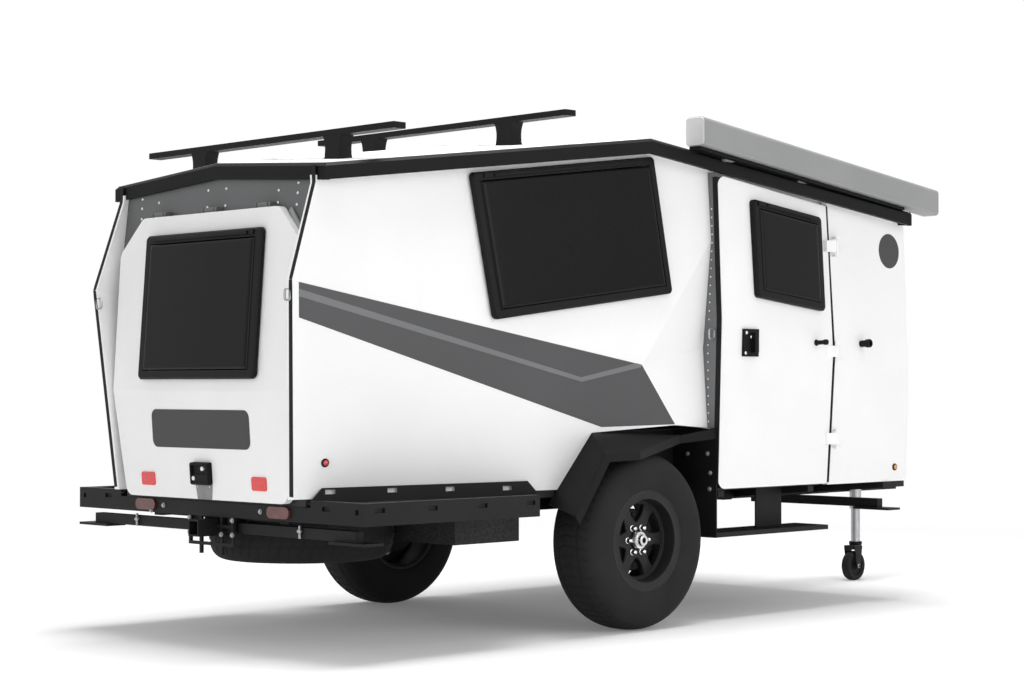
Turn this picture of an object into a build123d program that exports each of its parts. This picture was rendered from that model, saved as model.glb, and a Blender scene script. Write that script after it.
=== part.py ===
import os
from math import hypot

from build123d import *

# Travel trailer, in mm. X is the kerb side, Y points to the tow hitch, Z is up.
# While it is modelled, Y = 0 is the wheel axis, Z = 0 the ground and X = 0 the centre plane.

# Driving dimensions: wheels
tyre_r = 366.5
tyre_w = 235.0
bore_r = 200.0
rim_flange_r = 207.0
wheel_x = 746.0
stub_r = 22.0
pin_gap = 0.05
seat_gap = 0.3
swing_gap = 6.0

# Driving dimensions: body shell
wall_t = 30.0
sill_z = 582.0
skirt_z = 555.0
floor_t = 30.0
fin_top_y, fin_top_z, fin_top_x = -1554.0, 1737.0, 621.0
fin_kink_y, fin_kink_z, fin_kink_x = -1672.0, 1379.0, 634.0
fin_foot_y, fin_foot_x = -1612.0, 565.0
step_y = 446.0
shoulder_z, shoulder_x = 1613.0, 816.0
valley_z, valley_x = 1154.0, 770.0
fold_end_y = 17.0
notch_y, notch_z = 221.0, 833.0
front_y = 1817.0
arch_rear_y, arch_top_z = -229.0, 807.0
arch_front_z = 818.0
arch_foot_y, arch_foot_z = -426.0, 527.0

# Driving dimensions: front section
nose_fold_rear_z, nose_fold_rear_x = 1278.0, 868.0
nose_fold_front_z, nose_fold_front_x = 1037.0, 866.0
nose_top_z, nose_top_x = 1756.0, 840.0
nose_foot_x = 851.0

# Driving dimensions: roof
roof_rear_y, roof_rear_z, roof_rear_x = -1546.0, 1852.0, 666.0
roof_peak_y, roof_peak_z, roof_peak_x = 43.0, 2068.0, 845.0
roof_front_y, roof_front_z, roof_front_x = 1790.0, 1866.0, 905.0
gable_fall = 0.07
roof_t = 45.0
fascia_h = 62.0
fascia_t = 20.0

# Driving dimensions: hatch
hatch_top_y, hatch_top_z, hatch_top_x = -1572.0, 1661.0, 430.0
hatch_corner_z, hatch_corner_x = 1523.0, 571.0
hatch_fold_y, hatch_fold_z, hatch_fold_x = -1622.0, 977.0, 563.0
hatch_foot_y, hatch_foot_z, hatch_foot_x = -1591.0, 562.0, 507.0
hatch_t = 30.0
frame_t = 35.0
frame_lap = 25.0
hatch_gap = 5.0

# Driving dimensions: windows and door
hatch_win_x, hatch_win_low, hatch_win_high = 368.0, 1021.0, 1586.0
door_rear_y, door_front_y, door_kink = 452.0, 1206.0, 26.0
door_foot_z = 560.0
door_t = 38.0
door_top_gap = 9.0
hinge_x, hinge_y, hinge_r = 882.0, 1241.0, 5.0
win_frame_w, win_frame_t, win_lap = 34.0, 26.0, 16.0
pane_t = 5.0

# Driving dimensions: undercarriage
rail_x, rail_w, rail_h = 400.0, 50.0, 70.0
rail_front_y = 1785.0
receiver_out, receiver_in, receiver_len = 64.0, 51.0, 150.0
tongue_w, tongue_h, tongue_tip_y = 100.0, 100.0, 2880.0
coupler_tip_y = 2990.0
ball_r, ball_depth, ball_y = 25.25, 35.0, 2945.0
jack_x, jack_y = 89.0, 2465.0
jack_out_r, jack_in_r = 30.0, 23.0
jack_top_z, jack_out_foot_z = 900.0, 365.0
caster_r, caster_w, caster_trail = 75.0, 46.0, 20.0
rack_x, rack_rear_y, rack_front_y = 897.0, -1558.0, -671.0
beam_d = 40.0
rail_rear_y = rack_rear_y + beam_d
rack_low_z, rack_high_z = 496.0, 578.0
beam_high_z = sill_z - floor_t - seat_gap
flare_x = 910.0
spare_y, spare_low_z = -1110.0, 312.0
leg_len, leg_tube, leg_foot = 690.0, 40.0, 200.0
leg_pivot_x, leg_pivot_z = 110.0, 455.0
rear_leg_y, front_leg_y = -1512.0, 1650.0
spoke_face, spoke_t = 46.0, 22.0

# The object is handed over with the centre of its box's base at the origin
awning_x, awning_w, awning_h = 939.0, 100.0, 120.0
awning_rear_y, awning_front_y = 259.0, 1960.0
to_base_centre = Location((-(awning_x - flare_x) / 2, -(coupler_tip_y + fin_kink_y) / 2, 0))

pieces = {}


def plane_through(p, q, r):
    """Gives x(y, z) on the plane through three corners."""
    n = (Vector(*q) - Vector(*p)).cross(Vector(*r) - Vector(*p))
    return lambda y, z: p[0] - (n.Y * (y - p[1]) + n.Z * (z - p[2])) / n.X


def sheet(points):
    """Gives the flat face inside a polygon of corners in space."""
    return Face(Wire.make_polygon([Vector(*p) for p in points], close=True))


def ramp(v, v0, v1, w0, w1):
    """Gives the value at v on the line from (v0, w0) to (v1, w1)."""
    return w0 + (w1 - w0) * (v - v0) / (v1 - v0)


# Roof: a low gable that climbs from the tail to a peak and falls to the front
def ridge_z(y):
    if y < roof_peak_y:
        return ramp(y, roof_rear_y, roof_peak_y, roof_rear_z, roof_peak_z)
    return ramp(y, roof_peak_y, roof_front_y, roof_peak_z, roof_front_z)


def eave_x(y):
    if y < roof_peak_y:
        return ramp(y, roof_rear_y, roof_peak_y, roof_rear_x, roof_peak_x)
    return ramp(y, roof_peak_y, roof_front_y, roof_peak_x, roof_front_x)


def roof_z(x, y):
    return ridge_z(y) - gable_fall * abs(x)


def roof_facets(inset, drop, end_inset):
    """Gives the four roof facets, inset from the eaves and dropped below the top."""
    stations = [roof_rear_y + end_inset, roof_peak_y, roof_front_y - end_inset]
    facets = []
    for y0, y1 in zip(stations, stations[1:]):
        for side in (-1, 1):
            x0 = side * (eave_x(y0) - inset)
            x1 = side * (eave_x(y1) - inset)
            corners = [(0, y0), (x0, y0), (x1, y1), (0, y1)]
            facets.append([(x, y, roof_z(x, y) - drop) for x, y in corners])
    return facets


with BuildPart() as roof:
    for corners in roof_facets(fascia_t, 0, fascia_t):
        extrude(sheet(corners), amount=roof_t, dir=(0, 0, -1))
pieces["roof"] = roof

with BuildPart() as above_ceiling:
    for corners in roof_facets(-60, roof_t, -200):
        extrude(sheet(corners), amount=400, dir=(0, 0, 1))

fascia_bevel = 12.0


def cut_bevel(start, end, inward):
    """Cuts the fascia's top rim at 45 degrees from start to end; inward points across it."""
    p, run = Vector(*start), Vector(*end) - Vector(*start)
    wedge = [p, p + fascia_bevel * Vector(*inward), p - Vector(0, 0, fascia_bevel)]
    extrude(sheet([tuple(c) for c in wedge]), amount=run.length, dir=run, mode=Mode.SUBTRACT)


with BuildPart() as fascia:
    stations = [roof_rear_y, roof_peak_y, roof_front_y]
    for side in (-1, 1):
        for y0, y1 in zip(stations, stations[1:]):
            x0, x1 = side * eave_x(y0), side * eave_x(y1)
            top = [(x0, y0, roof_z(x0, y0)), (x1, y1, roof_z(x1, y1))]
            low = [(x, y, z - fascia_h) for x, y, z in reversed(top)]
            extrude(sheet(top + low), amount=fascia_t, dir=(-side, 0, 0))
    for y, inward in ((roof_rear_y, 1), (roof_front_y, -1)):
        x = eave_x(y)
        top = [(-x, y, roof_z(x, y)), (0, y, ridge_z(y)), (x, y, roof_z(x, y))]
        low = [(px, py, pz - fascia_h) for px, py, pz in reversed(top)]
        extrude(sheet(top + low), amount=fascia_t, dir=(0, inward, 0))
    for side in (-1, 1):
        for y0, y1 in zip(stations, stations[1:]):
            x0, x1 = side * eave_x(y0), side * eave_x(y1)
            cut_bevel((x0, y0, roof_z(x0, y0)), (x1, y1, roof_z(x1, y1)), (-side, 0, gable_fall))
        for y, inward in ((roof_rear_y, 1), (roof_front_y, -1)):
            x = side * eave_x(y)
            cut_bevel((0, y, ridge_z(y)), (x, y, roof_z(x, y)), (0, inward, 0))
pieces["roof_fascia"] = fascia

# Side wall of the tail section: folded facets that lean in above and below a slanting fold
upper_x = plane_through(
    (fin_kink_x, fin_kink_y, fin_kink_z),
    (fin_top_x, fin_top_y, fin_top_z),
    (shoulder_x, step_y, shoulder_z),
)
fold_slope = 0.1741
fold_end_z = fin_kink_z - fold_slope * (fold_end_y - fin_kink_y)
lower_x = plane_through(
    (fin_kink_x, fin_kink_y, fin_kink_z),
    (upper_x(fold_end_y, fold_end_z), fold_end_y, fold_end_z),
    (fin_foot_x, fin_foot_y, sill_z),
)
valley_low_x = plane_through(
    (upper_x(fold_end_y, fold_end_z), fold_end_y, fold_end_z),
    (valley_x, step_y, valley_z),
    (lower_x(notch_y, notch_z), notch_y, notch_z),
)
arch_sill_y = ramp(sill_z, arch_top_z, arch_foot_z, arch_rear_y, arch_foot_y)
head_z = roof_peak_z

fold_end = (upper_x(fold_end_y, fold_end_z), fold_end_y, fold_end_z)
shoulder = (shoulder_x, step_y, shoulder_z)
valley = (valley_x, step_y, valley_z)
notch = (lower_x(notch_y, notch_z), notch_y, notch_z)
arch_front = (valley_low_x(step_y, arch_front_z), step_y, arch_front_z)
kink = (fin_kink_x, fin_kink_y, fin_kink_z)
arch_rear = (lower_x(arch_rear_y, arch_top_z), arch_rear_y, arch_top_z)
arch_sill = (lower_x(arch_sill_y, sill_z), arch_sill_y, sill_z)
fin_foot = (fin_foot_x, fin_foot_y, sill_z)
fin_head = (upper_x(fin_top_y, head_z), fin_top_y, head_z)
fin_top = (fin_top_x, fin_top_y, fin_top_z)
step_head = (upper_x(step_y, head_z), step_y, head_z)
tail_facets = [
    [fin_head, fin_top, kink, fold_end, shoulder, step_head],
    [kink, fin_foot, arch_sill, arch_rear, notch, fold_end],
    [shoulder, fold_end, valley],
    [fold_end, notch, arch_front, valley],
]


def below_eave(y, drop):
    """Gives the (y, z) point that lies that far below the roof's edge."""
    return (y, roof_z(eave_x(y), y) - drop)


side_window = [below_eave(-852, 79), below_eave(117, 55), below_eave(185, 613), below_eave(-768, 655)]


def inset_quad(corners, inset):
    """Moves the sides of a clockwise quadrilateral of (u, v) corners inwards by inset."""
    sides = []
    for (u0, v0), (u1, v1) in zip(corners, corners[1:] + corners[:1]):
        run = hypot(u1 - u0, v1 - v0)
        nu, nv = (v1 - v0) / run, -(u1 - u0) / run
        sides.append((nu, nv, nu * u0 + nv * v0 + inset))
    moved = []
    for (a0, b0, c0), (a1, b1, c1) in zip(sides[-1:] + sides[:-1], sides):
        det = a0 * b1 - a1 * b0
        moved.append(((c0 * b1 - c1 * b0) / det, (a0 * c1 - a1 * c0) / det))
    return moved


def wall_cut(corners, inset, outer, reach):
    """Cuts a window hole through a side wall on the kerb side."""
    hole = [(outer, y, z) for y, z in inset_quad(corners, inset)]
    extrude(sheet(hole), amount=reach, dir=(-1, 0, 0), mode=Mode.SUBTRACT)


with BuildPart() as wall_rear_right:
    for corners in tail_facets:
        extrude(sheet(corners), amount=wall_t, dir=(-1, 0, 0))
    wall_cut(side_window, win_frame_w, 900, 400)
    add(above_ceiling.part, mode=Mode.SUBTRACT)
    add(fascia.part, mode=Mode.SUBTRACT)
pieces["wall_rear_right"] = wall_rear_right

with BuildPart() as wall_rear_left:
    mirror(wall_rear_right.part, about=Plane.YZ)
pieces["wall_rear_left"] = wall_rear_left

with BuildPart() as tail_room:
    for corners in tail_facets:
        inner = [(x - wall_t, y, z) for x, y, z in corners]
        extrude(sheet(inner), amount=2000, dir=(-1, 0, 0))
    mirror_half = mirror(tail_room.part, about=Plane.YZ, mode=Mode.PRIVATE)
    add(mirror_half, mode=Mode.INTERSECT)

# Side wall of the front section: two facets that meet at a slanting fold
nose_high_x = plane_through(
    (nose_fold_rear_x, step_y, nose_fold_rear_z),
    (nose_fold_front_x, front_y, nose_fold_front_z),
    (nose_top_x, front_y, nose_top_z),
)
nose_low_x = plane_through(
    (nose_fold_rear_x, step_y, nose_fold_rear_z),
    (nose_fold_front_x, front_y, nose_fold_front_z),
    (nose_foot_x, front_y, skirt_z),
)


def nose_x(y, z):
    return min(nose_high_x(y, z), nose_low_x(y, z))


def nose_fold_z(y):
    return ramp(y, step_y, front_y, nose_fold_rear_z, nose_fold_front_z)


def nose_band(rear, front):
    """Gives the two facets between a rear and a front edge, each a (top, fold, foot) of y."""
    high = [(rear[0], head_z), (rear[1], nose_fold_z(rear[1]))]
    high += [(front[1], nose_fold_z(front[1])), (front[0], head_z)]
    low = [(rear[1], nose_fold_z(rear[1])), (rear[2], skirt_z)]
    low += [(front[2], skirt_z), (front[1], nose_fold_z(front[1]))]
    return [[(nose_high_x(y, z), y, z) for y, z in high], [(nose_low_x(y, z), y, z) for y, z in low]]


door_front = (door_front_y, door_front_y + door_kink, door_front_y)
door_jamb = tuple(y + swing_gap for y in door_front)
corner_edge = (front_y, front_y, front_y)
strip_t = 3.0
nose_y = step_y + strip_t
step_edge = (nose_y, nose_y, nose_y)


def door_head_z(y):
    return roof_z(eave_x(y), y) - fascia_h - door_top_gap


post_x = 802.0
post_w = 34.0
stud_y = door_jamb[1] + 12
with BuildPart() as wall_front_right:
    for corners in nose_band(door_jamb, corner_edge):
        extrude(sheet(corners), amount=wall_t, dir=(-1, 0, 0))
    # Rear post and header stand behind the door skin
    with BuildSketch(Plane.YZ.offset(post_x - post_w)):
        with BuildLine():
            Polyline(
                (nose_y, sill_z),
                (nose_y + post_w, sill_z),
                (nose_y + post_w, door_head_z(nose_y + post_w)),
                (stud_y, door_head_z(stud_y)),
                (stud_y + post_w, door_head_z(stud_y)),
                (stud_y + post_w, head_z),
                (nose_y, head_z),
                close=True,
            )
        make_face()
    extrude(amount=post_w)
    with BuildSketch(Plane.XY.offset(sill_z)):
        with Locations((post_x - post_w / 2 + 14, stud_y + post_w / 2)):
            Rectangle(post_w + 28, post_w)
    extrude(amount=head_z - sill_z)
    add(above_ceiling.part, mode=Mode.SUBTRACT)
    add(fascia.part, mode=Mode.SUBTRACT)
pieces["wall_front_right"] = wall_front_right

with BuildPart() as plain_wall:
    for corners in nose_band(step_edge, corner_edge):
        extrude(sheet(corners), amount=wall_t, dir=(-1, 0, 0))
    add(above_ceiling.part, mode=Mode.SUBTRACT)
    add(fascia.part, mode=Mode.SUBTRACT)
with BuildPart() as wall_front_left:
    mirror(plain_wall.part, about=Plane.YZ)
pieces["wall_front_left"] = wall_front_left

with BuildPart() as nose_room:
    for corners in nose_band(step_edge, corner_edge):
        inner = [(x - wall_t, y, z) for x, y, z in corners]
        extrude(sheet(inner), amount=2000, dir=(-1, 0, 0))
    nose_mirror = mirror(nose_room.part, about=Plane.YZ, mode=Mode.PRIVATE)
    add(nose_mirror, mode=Mode.INTERSECT)

# Front wall between the side walls
with BuildPart() as front_wall:
    with BuildSketch(Plane.XZ.offset(-front_y)):
        with Locations((0, (sill_z + head_z) / 2)):
            Rectangle(2000, head_z - sill_z)
    extrude(amount=wall_t)
    add(nose_room.part, mode=Mode.INTERSECT)
    add(above_ceiling.part, mode=Mode.SUBTRACT)
    add(fascia.part, mode=Mode.SUBTRACT)
pieces["front_wall"] = front_wall


# Return strips: riveted plates that close the step between tail and front section
with BuildPart() as return_strips:
    edge = [step_head, shoulder, valley, arch_front]
    door_edge_low = (nose_low_x(step_y, arch_front_z), step_y, arch_front_z)
    door_edge_fold = (nose_fold_rear_x, step_y, nose_fold_rear_z)
    strip_head_z = roof_z(eave_x(step_y), step_y) - fascia_h
    door_edge_head = (nose_high_x(step_y, strip_head_z), step_y, strip_head_z)
    edge[0] = (upper_x(step_y, strip_head_z), step_y, strip_head_z)
    outline = edge + [door_edge_low, door_edge_fold, door_edge_head]
    extrude(sheet([(x - 4 if i in (4, 5, 6) else x, y, z) for i, (x, y, z) in enumerate(outline)]),
            amount=strip_t, dir=(0, 1, 0))
    mirror(return_strips.part, about=Plane.YZ)
    add(fascia.part, mode=Mode.SUBTRACT)
pieces["return_strips"] = return_strips

# Rear frame and hatch: both follow a slope that folds outwards at the waist
hatch_round = 42.0


def hatch_y(z):
    if z > hatch_fold_z:
        return ramp(z, hatch_fold_z, hatch_top_z, hatch_fold_y, hatch_top_y)
    return ramp(z, hatch_foot_z, hatch_fold_z, hatch_foot_y, hatch_fold_y)


def hatch_outline(grow):
    """Gives the upper and lower facet of the hatch as (x, z) corners, grown by grow."""
    top, foot = hatch_top_z + grow, hatch_foot_z - grow
    high = [(hatch_fold_x + grow, hatch_fold_z), (hatch_corner_x + grow, hatch_corner_z + grow / 2)]
    high += [(hatch_top_x + grow / 2, top), (-hatch_top_x - grow / 2, top)]
    high += [(-hatch_corner_x - grow, hatch_corner_z + grow / 2), (-hatch_fold_x - grow, hatch_fold_z)]
    low = [(-hatch_fold_x - grow, hatch_fold_z), (-hatch_foot_x - grow, foot)]
    low += [(hatch_foot_x + grow, foot), (hatch_fold_x + grow, hatch_fold_z)]
    return high, low


frame_set = hatch_t + hatch_gap
with BuildPart() as rear_frame:
    for z0, z1 in ((sill_z, hatch_fold_z), (hatch_fold_z, head_z)):
        corners = [(-900, z0), (900, z0), (900, z1), (-900, z1)]
        extrude(sheet([(x, hatch_y(z) + frame_set, z) for x, z in corners]), amount=frame_t, dir=(0, 1, 0))
    for outline in hatch_outline(-frame_lap):
        hole = sheet([(x, -1900, z) for x, z in outline])
        extrude(hole, amount=600, dir=(0, 1, 0), mode=Mode.SUBTRACT)
    add(tail_room.part, mode=Mode.INTERSECT)
    add(above_ceiling.part, mode=Mode.SUBTRACT)
    add(fascia.part, mode=Mode.SUBTRACT)

hatch_hinge_y = hatch_top_y + 8
hatch_hinge_z = hatch_top_z + 10
hatch_pin_r = 5.0
hatch_eye_r = 9.0
hatch_eye_w = 60.0
hatch_eyes = (-330.0, 0.0, 330.0)
with BuildPart() as hatch:
    for outline in hatch_outline(0):
        extrude(sheet([(x, hatch_y(z), z) for x, z in outline]), amount=hatch_t, dir=(0, 1, 0))
    fillet(hatch.edges().filter_by(Axis.Y).filter_by(lambda e: abs(e.center().Z - hatch_fold_z) > 50), hatch_round)
    window_hole = [(-hatch_win_x + win_frame_w, hatch_win_low + win_frame_w),
                   (hatch_win_x - win_frame_w, hatch_win_low + win_frame_w),
                   (hatch_win_x - win_frame_w, hatch_win_high - win_frame_w),
                   (-hatch_win_x + win_frame_w, hatch_win_high - win_frame_w)]
    hole = sheet([(x, -1900, z) for x, z in window_hole])
    extrude(hole, amount=600, dir=(0, 1, 0), mode=Mode.SUBTRACT)
    for x in hatch_eyes:
        with BuildSketch(Plane.YZ.offset(x - hatch_eye_w / 2)):
            with Locations((hatch_hinge_y, hatch_hinge_z)):
                Circle(hatch_eye_r)
            with Locations((hatch_hinge_y + 3, hatch_hinge_z - 12)):
                Rectangle(12, 20)
        extrude(amount=hatch_eye_w)
        with BuildSketch(Plane.YZ.offset(x - hatch_eye_w / 2)):
            with Locations((hatch_hinge_y, hatch_hinge_z)):
                Circle(hatch_pin_r + pin_gap)
        extrude(amount=hatch_eye_w, mode=Mode.SUBTRACT)
pieces["hatch"] = hatch

with BuildPart() as rear_frame_full:
    add(rear_frame.part)
    for x in hatch_eyes:
        with BuildSketch(Plane.YZ.offset(x - hatch_eye_w / 2 - 18)):
            with Locations((hatch_hinge_y, hatch_hinge_z)):
                Circle(hatch_pin_r)
        extrude(amount=hatch_eye_w + 36)
        for side in (-1, 1):
            cheek_x = x + side * (hatch_eye_w / 2 + 12)
            with BuildSketch(Plane.YZ.offset(cheek_x - 6)):
                with Locations((hatch_hinge_y, hatch_hinge_z)):
                    Circle(hatch_eye_r)
                with Locations((hatch_hinge_y + 18, hatch_hinge_z + 2)):
                    Rectangle(36, 14)
            extrude(amount=12)
pieces["rear_frame"] = rear_frame_full


# Windows: a raised frame round a dark pane, with the strip it hinges on along its top
win_round, win_bevel = 20.0, 7.0
strip_h, strip_proud, strip_ends = 18.0, 5.0, 0.06


def hatch_window(inset):
    x, low, high = hatch_win_x - inset, hatch_win_low + inset, hatch_win_high - inset
    return [(-x, high), (x, high), (x, low), (-x, low)]


def hinge_strip(corners):
    """Gives the band under the top edge of a window; corners start at its top left, clockwise."""
    (u0, v0), (u1, v1) = corners[0], corners[1]
    ends = [(ramp(t, 0, 1, u0, u1), ramp(t, 0, 1, v0, v1) - win_bevel) for t in (strip_ends, 1 - strip_ends)]
    return ends + [(u, v - strip_h) for u, v in reversed(ends)]


with BuildPart() as hatch_window_frame:
    face = sheet([(x, hatch_y(z), z) for x, z in hatch_window(0)])
    extrude(face, amount=win_frame_t, dir=(0, -1, 0))
    fillet(hatch_window_frame.edges().filter_by(Axis.Y), win_round)
    chamfer(hatch_window_frame.faces().sort_by(Axis.Y)[0].edges(), win_bevel)
    hole = sheet([(x, -1900, z) for x, z in hatch_window(win_frame_w)])
    extrude(hole, amount=600, dir=(0, 1, 0), mode=Mode.SUBTRACT)
    strip = [(x, hatch_y(z) - win_frame_t + win_bevel, z) for x, z in hinge_strip(hatch_window(0))]
    extrude(sheet(strip), amount=win_bevel + strip_proud, dir=(0, -1, 0))
pieces["hatch_window_frame"] = hatch_window_frame

with BuildPart() as hatch_window_pane:
    face = sheet([(x, hatch_y(z) - win_lap, z) for x, z in hatch_window(win_frame_w)])
    extrude(face, amount=pane_t, dir=(0, -1, 0))
pieces["hatch_window_pane"] = hatch_window_pane

with BuildPart() as side_window_frames:
    face = sheet([(upper_x(y, z), y, z) for y, z in side_window])
    extrude(face, amount=win_frame_t, dir=(1, 0, 0))
    fillet(side_window_frames.edges().filter_by(Axis.X), win_round)
    chamfer(side_window_frames.faces().sort_by(Axis.X)[-1].edges(), win_bevel)
    wall_cut(side_window, win_frame_w, 1000, 600)
    strip = [(upper_x(y, z) + win_frame_t - win_bevel, y, z) for y, z in hinge_strip(side_window)]
    extrude(sheet(strip), amount=win_bevel + strip_proud, dir=(1, 0, 0))
    mirror(side_window_frames.part, about=Plane.YZ)
pieces["side_window_frames"] = side_window_frames

with BuildPart() as side_window_panes:
    face = sheet([(upper_x(y, z) + win_lap, y, z) for y, z in inset_quad(side_window, win_frame_w)])
    extrude(face, amount=pane_t, dir=(1, 0, 0))
    mirror(side_window_panes.part, about=Plane.YZ)
pieces["side_window_panes"] = side_window_panes

# Door: the outer skin folds with the wall, and its knuckles turn on the wall's pins
door_window = [(662, 1799), (1147, 1745), (1158, 1326), (678, 1376)]
door_win_x = nose_high_x
hinge_eyes = (760.0, 1150.0, 1620.0)
door_round, door_waist_z = 45.0, nose_fold_z(door_rear_y)
eye_h, eye_wall = 50.0, 4.0
cheek_h, cheek_gap = 12.0, 8.0
with BuildPart() as door:
    for corners in nose_band((door_rear_y,) * 3, door_front):
        extrude(sheet(corners), amount=door_t, dir=(-1, 0, 0))
    head = [(door_rear_y - 9, door_head_z(door_rear_y - 9)), (1300, door_head_z(1300)), (1300, 2400), (443, 2400)]
    extrude(sheet([(1000, y, z) for y, z in head]), amount=400, dir=(-1, 0, 0), mode=Mode.SUBTRACT)
    foot = [(440, 0), (1300, 0), (1300, door_foot_z), (440, door_foot_z)]
    extrude(sheet([(1000, y, z) for y, z in foot]), amount=400, dir=(-1, 0, 0), mode=Mode.SUBTRACT)
    rear_corners = door.edges().filter_by(Axis.X).filter_by(lambda e: abs(e.center().Y - door_rear_y) < 1)
    fillet(rear_corners.filter_by(lambda e: abs(e.center().Z - door_waist_z) > 100), door_round)
    wall_cut(door_window, win_frame_w, 1000, 400)
    for z in hinge_eyes:
        with BuildSketch(Plane.XY.offset(z - eye_h / 2)):
            with Locations((hinge_x, hinge_y)):
                RegularPolygon(hinge_r + eye_wall, 8)
            with BuildLine():
                Polyline((hinge_x - 3, hinge_y + 5), (hinge_x + 6, hinge_y + 3), (hinge_x - 12, door_front_y - 22),
                         (hinge_x - 40, door_front_y - 22), (hinge_x - 40, door_front_y - 4), close=True)
            make_face()
        extrude(amount=eye_h)
        with BuildSketch(Plane.XY.offset(z - eye_h / 2)):
            with Locations((hinge_x, hinge_y)):
                Circle(hinge_r + pin_gap)
        extrude(amount=eye_h, mode=Mode.SUBTRACT)
pieces["door"] = door

with BuildPart() as door_hinges:
    for z in hinge_eyes:
        with BuildSketch(Plane.XY.offset(z - eye_h / 2 - cheek_gap - cheek_h)):
            with Locations((hinge_x, hinge_y)):
                Circle(hinge_r)
        extrude(amount=eye_h + 2 * (cheek_gap + cheek_h))
        for side in (-1, 1):
            low = z + side * (eye_h / 2 + cheek_gap + cheek_h / 2) - cheek_h / 2
            root_x = nose_x(hinge_y + 30, z) - 12
            with BuildSketch(Plane.XY.offset(low)):
                with Locations((hinge_x, hinge_y)):
                    RegularPolygon(hinge_r + eye_wall, 8)
                with BuildLine():
                    Polyline((hinge_x, hinge_y - 5), (hinge_x + 6, hinge_y + 5), (hinge_x - 8, hinge_y + 40),
                             (root_x, hinge_y + 40), (root_x, hinge_y + 12), close=True)
                make_face()
            extrude(amount=cheek_h)
    add(wall_front_right.part, mode=Mode.SUBTRACT)
pieces["door_hinges"] = door_hinges

with BuildPart() as door_window_frame:
    face = sheet([(door_win_x(y, z), y, z) for y, z in door_window])
    extrude(face, amount=win_frame_t, dir=(1, 0, 0))
    fillet(door_window_frame.edges().filter_by(Axis.X), win_round)
    chamfer(door_window_frame.faces().sort_by(Axis.X)[-1].edges(), win_bevel)
    wall_cut(door_window, win_frame_w, 1100, 600)
    strip = [(door_win_x(y, z) + win_frame_t - win_bevel, y, z) for y, z in hinge_strip(door_window)]
    extrude(sheet(strip), amount=win_bevel + strip_proud, dir=(1, 0, 0))
pieces["door_window_frame"] = door_window_frame

with BuildPart() as door_window_pane:
    face = sheet([(door_win_x(y, z) + win_lap, y, z) for y, z in inset_quad(door_window, win_frame_w)])
    extrude(face, amount=pane_t, dir=(1, 0, 0))
pieces["door_window_pane"] = door_window_pane

with BuildPart() as door_lock:
    lock_y, lock_z, lock_w, lock_h = 640.0, 1180.0, 100.0, 118.0
    corners = [(lock_y - lock_w / 2, lock_z - lock_h / 2), (lock_y + lock_w / 2, lock_z - lock_h / 2),
               (lock_y + lock_w / 2, lock_z + lock_h / 2), (lock_y - lock_w / 2, lock_z + lock_h / 2)]
    extrude(sheet([(nose_low_x(y, z), y, z) for y, z in corners]), amount=12, dir=(1, 0, 0))
    with BuildSketch(Plane.YZ.offset(nose_low_x(lock_y, lock_z) + 6)):
        with Locations((lock_y + 14, lock_z)):
            Rectangle(24, 84)
    extrude(amount=26)
pieces["door_lock"] = door_lock

# Floor slab with a notch for each wheel well
well_x = 605.0
well_t = 4.0
well_rear_y = arch_sill_y
floor_x = nose_low_x(nose_y, sill_z - floor_t) - wall_t - 0.1
with BuildPart() as floor:
    with BuildSketch(Plane.XY.offset(sill_z - floor_t)):
        for side in (-1, 1):
            with BuildLine():
                Polyline((0, fin_foot_y + 60), (side * 565, fin_foot_y + 60), (side * 706, well_rear_y - 10),
                         (side * (well_x - well_t), well_rear_y - 10), (side * (well_x - well_t), nose_y),
                         (side * floor_x, nose_y), (side * floor_x, front_y - wall_t), (0, front_y - wall_t),
                         close=True)
            make_face()
    extrude(amount=floor_t)
    with Locations((floor_x, (nose_y + door_jamb[0]) / 2, sill_z - floor_t / 2)):
        Box(32, door_jamb[0] - nose_y, floor_t, mode=Mode.SUBTRACT)
pieces["floor"] = floor

# Wheel wells: folded sheet over each wheel, with the plate that closes them in front
with BuildPart() as wheel_wells:
    with BuildSketch(Plane.YZ.offset(well_x)):
        with BuildLine():
            Polyline((arch_sill_y, sill_z), (arch_rear_y, arch_top_z), (step_y, arch_front_z),
                     (step_y, arch_front_z - well_t), (arch_rear_y + 2, arch_top_z - well_t),
                     (arch_sill_y + 5, sill_z), close=True)
        make_face()
    extrude(amount=arch_sill[0] - well_x - 2)
    with BuildSketch(Plane.YZ.offset(well_x - well_t)):
        with BuildLine():
            Polyline((arch_sill_y, sill_z - floor_t), (arch_sill_y, sill_z), (arch_rear_y, arch_top_z),
                     (step_y, arch_front_z), (step_y, sill_z - floor_t), close=True)
        make_face()
    extrude(amount=well_t)
    with BuildSketch(Plane.XZ.offset(-step_y)):
        with BuildLine():
            Polyline((well_x - well_t, sill_z - floor_t), (779, 355), (846, 355), (846, arch_front_z - well_t),
                     (well_x - well_t, arch_front_z - well_t), close=True)
        make_face()
    extrude(amount=well_t)
    mirror(wheel_wells.part, about=Plane.YZ)
pieces["wheel_wells"] = wheel_wells

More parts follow.
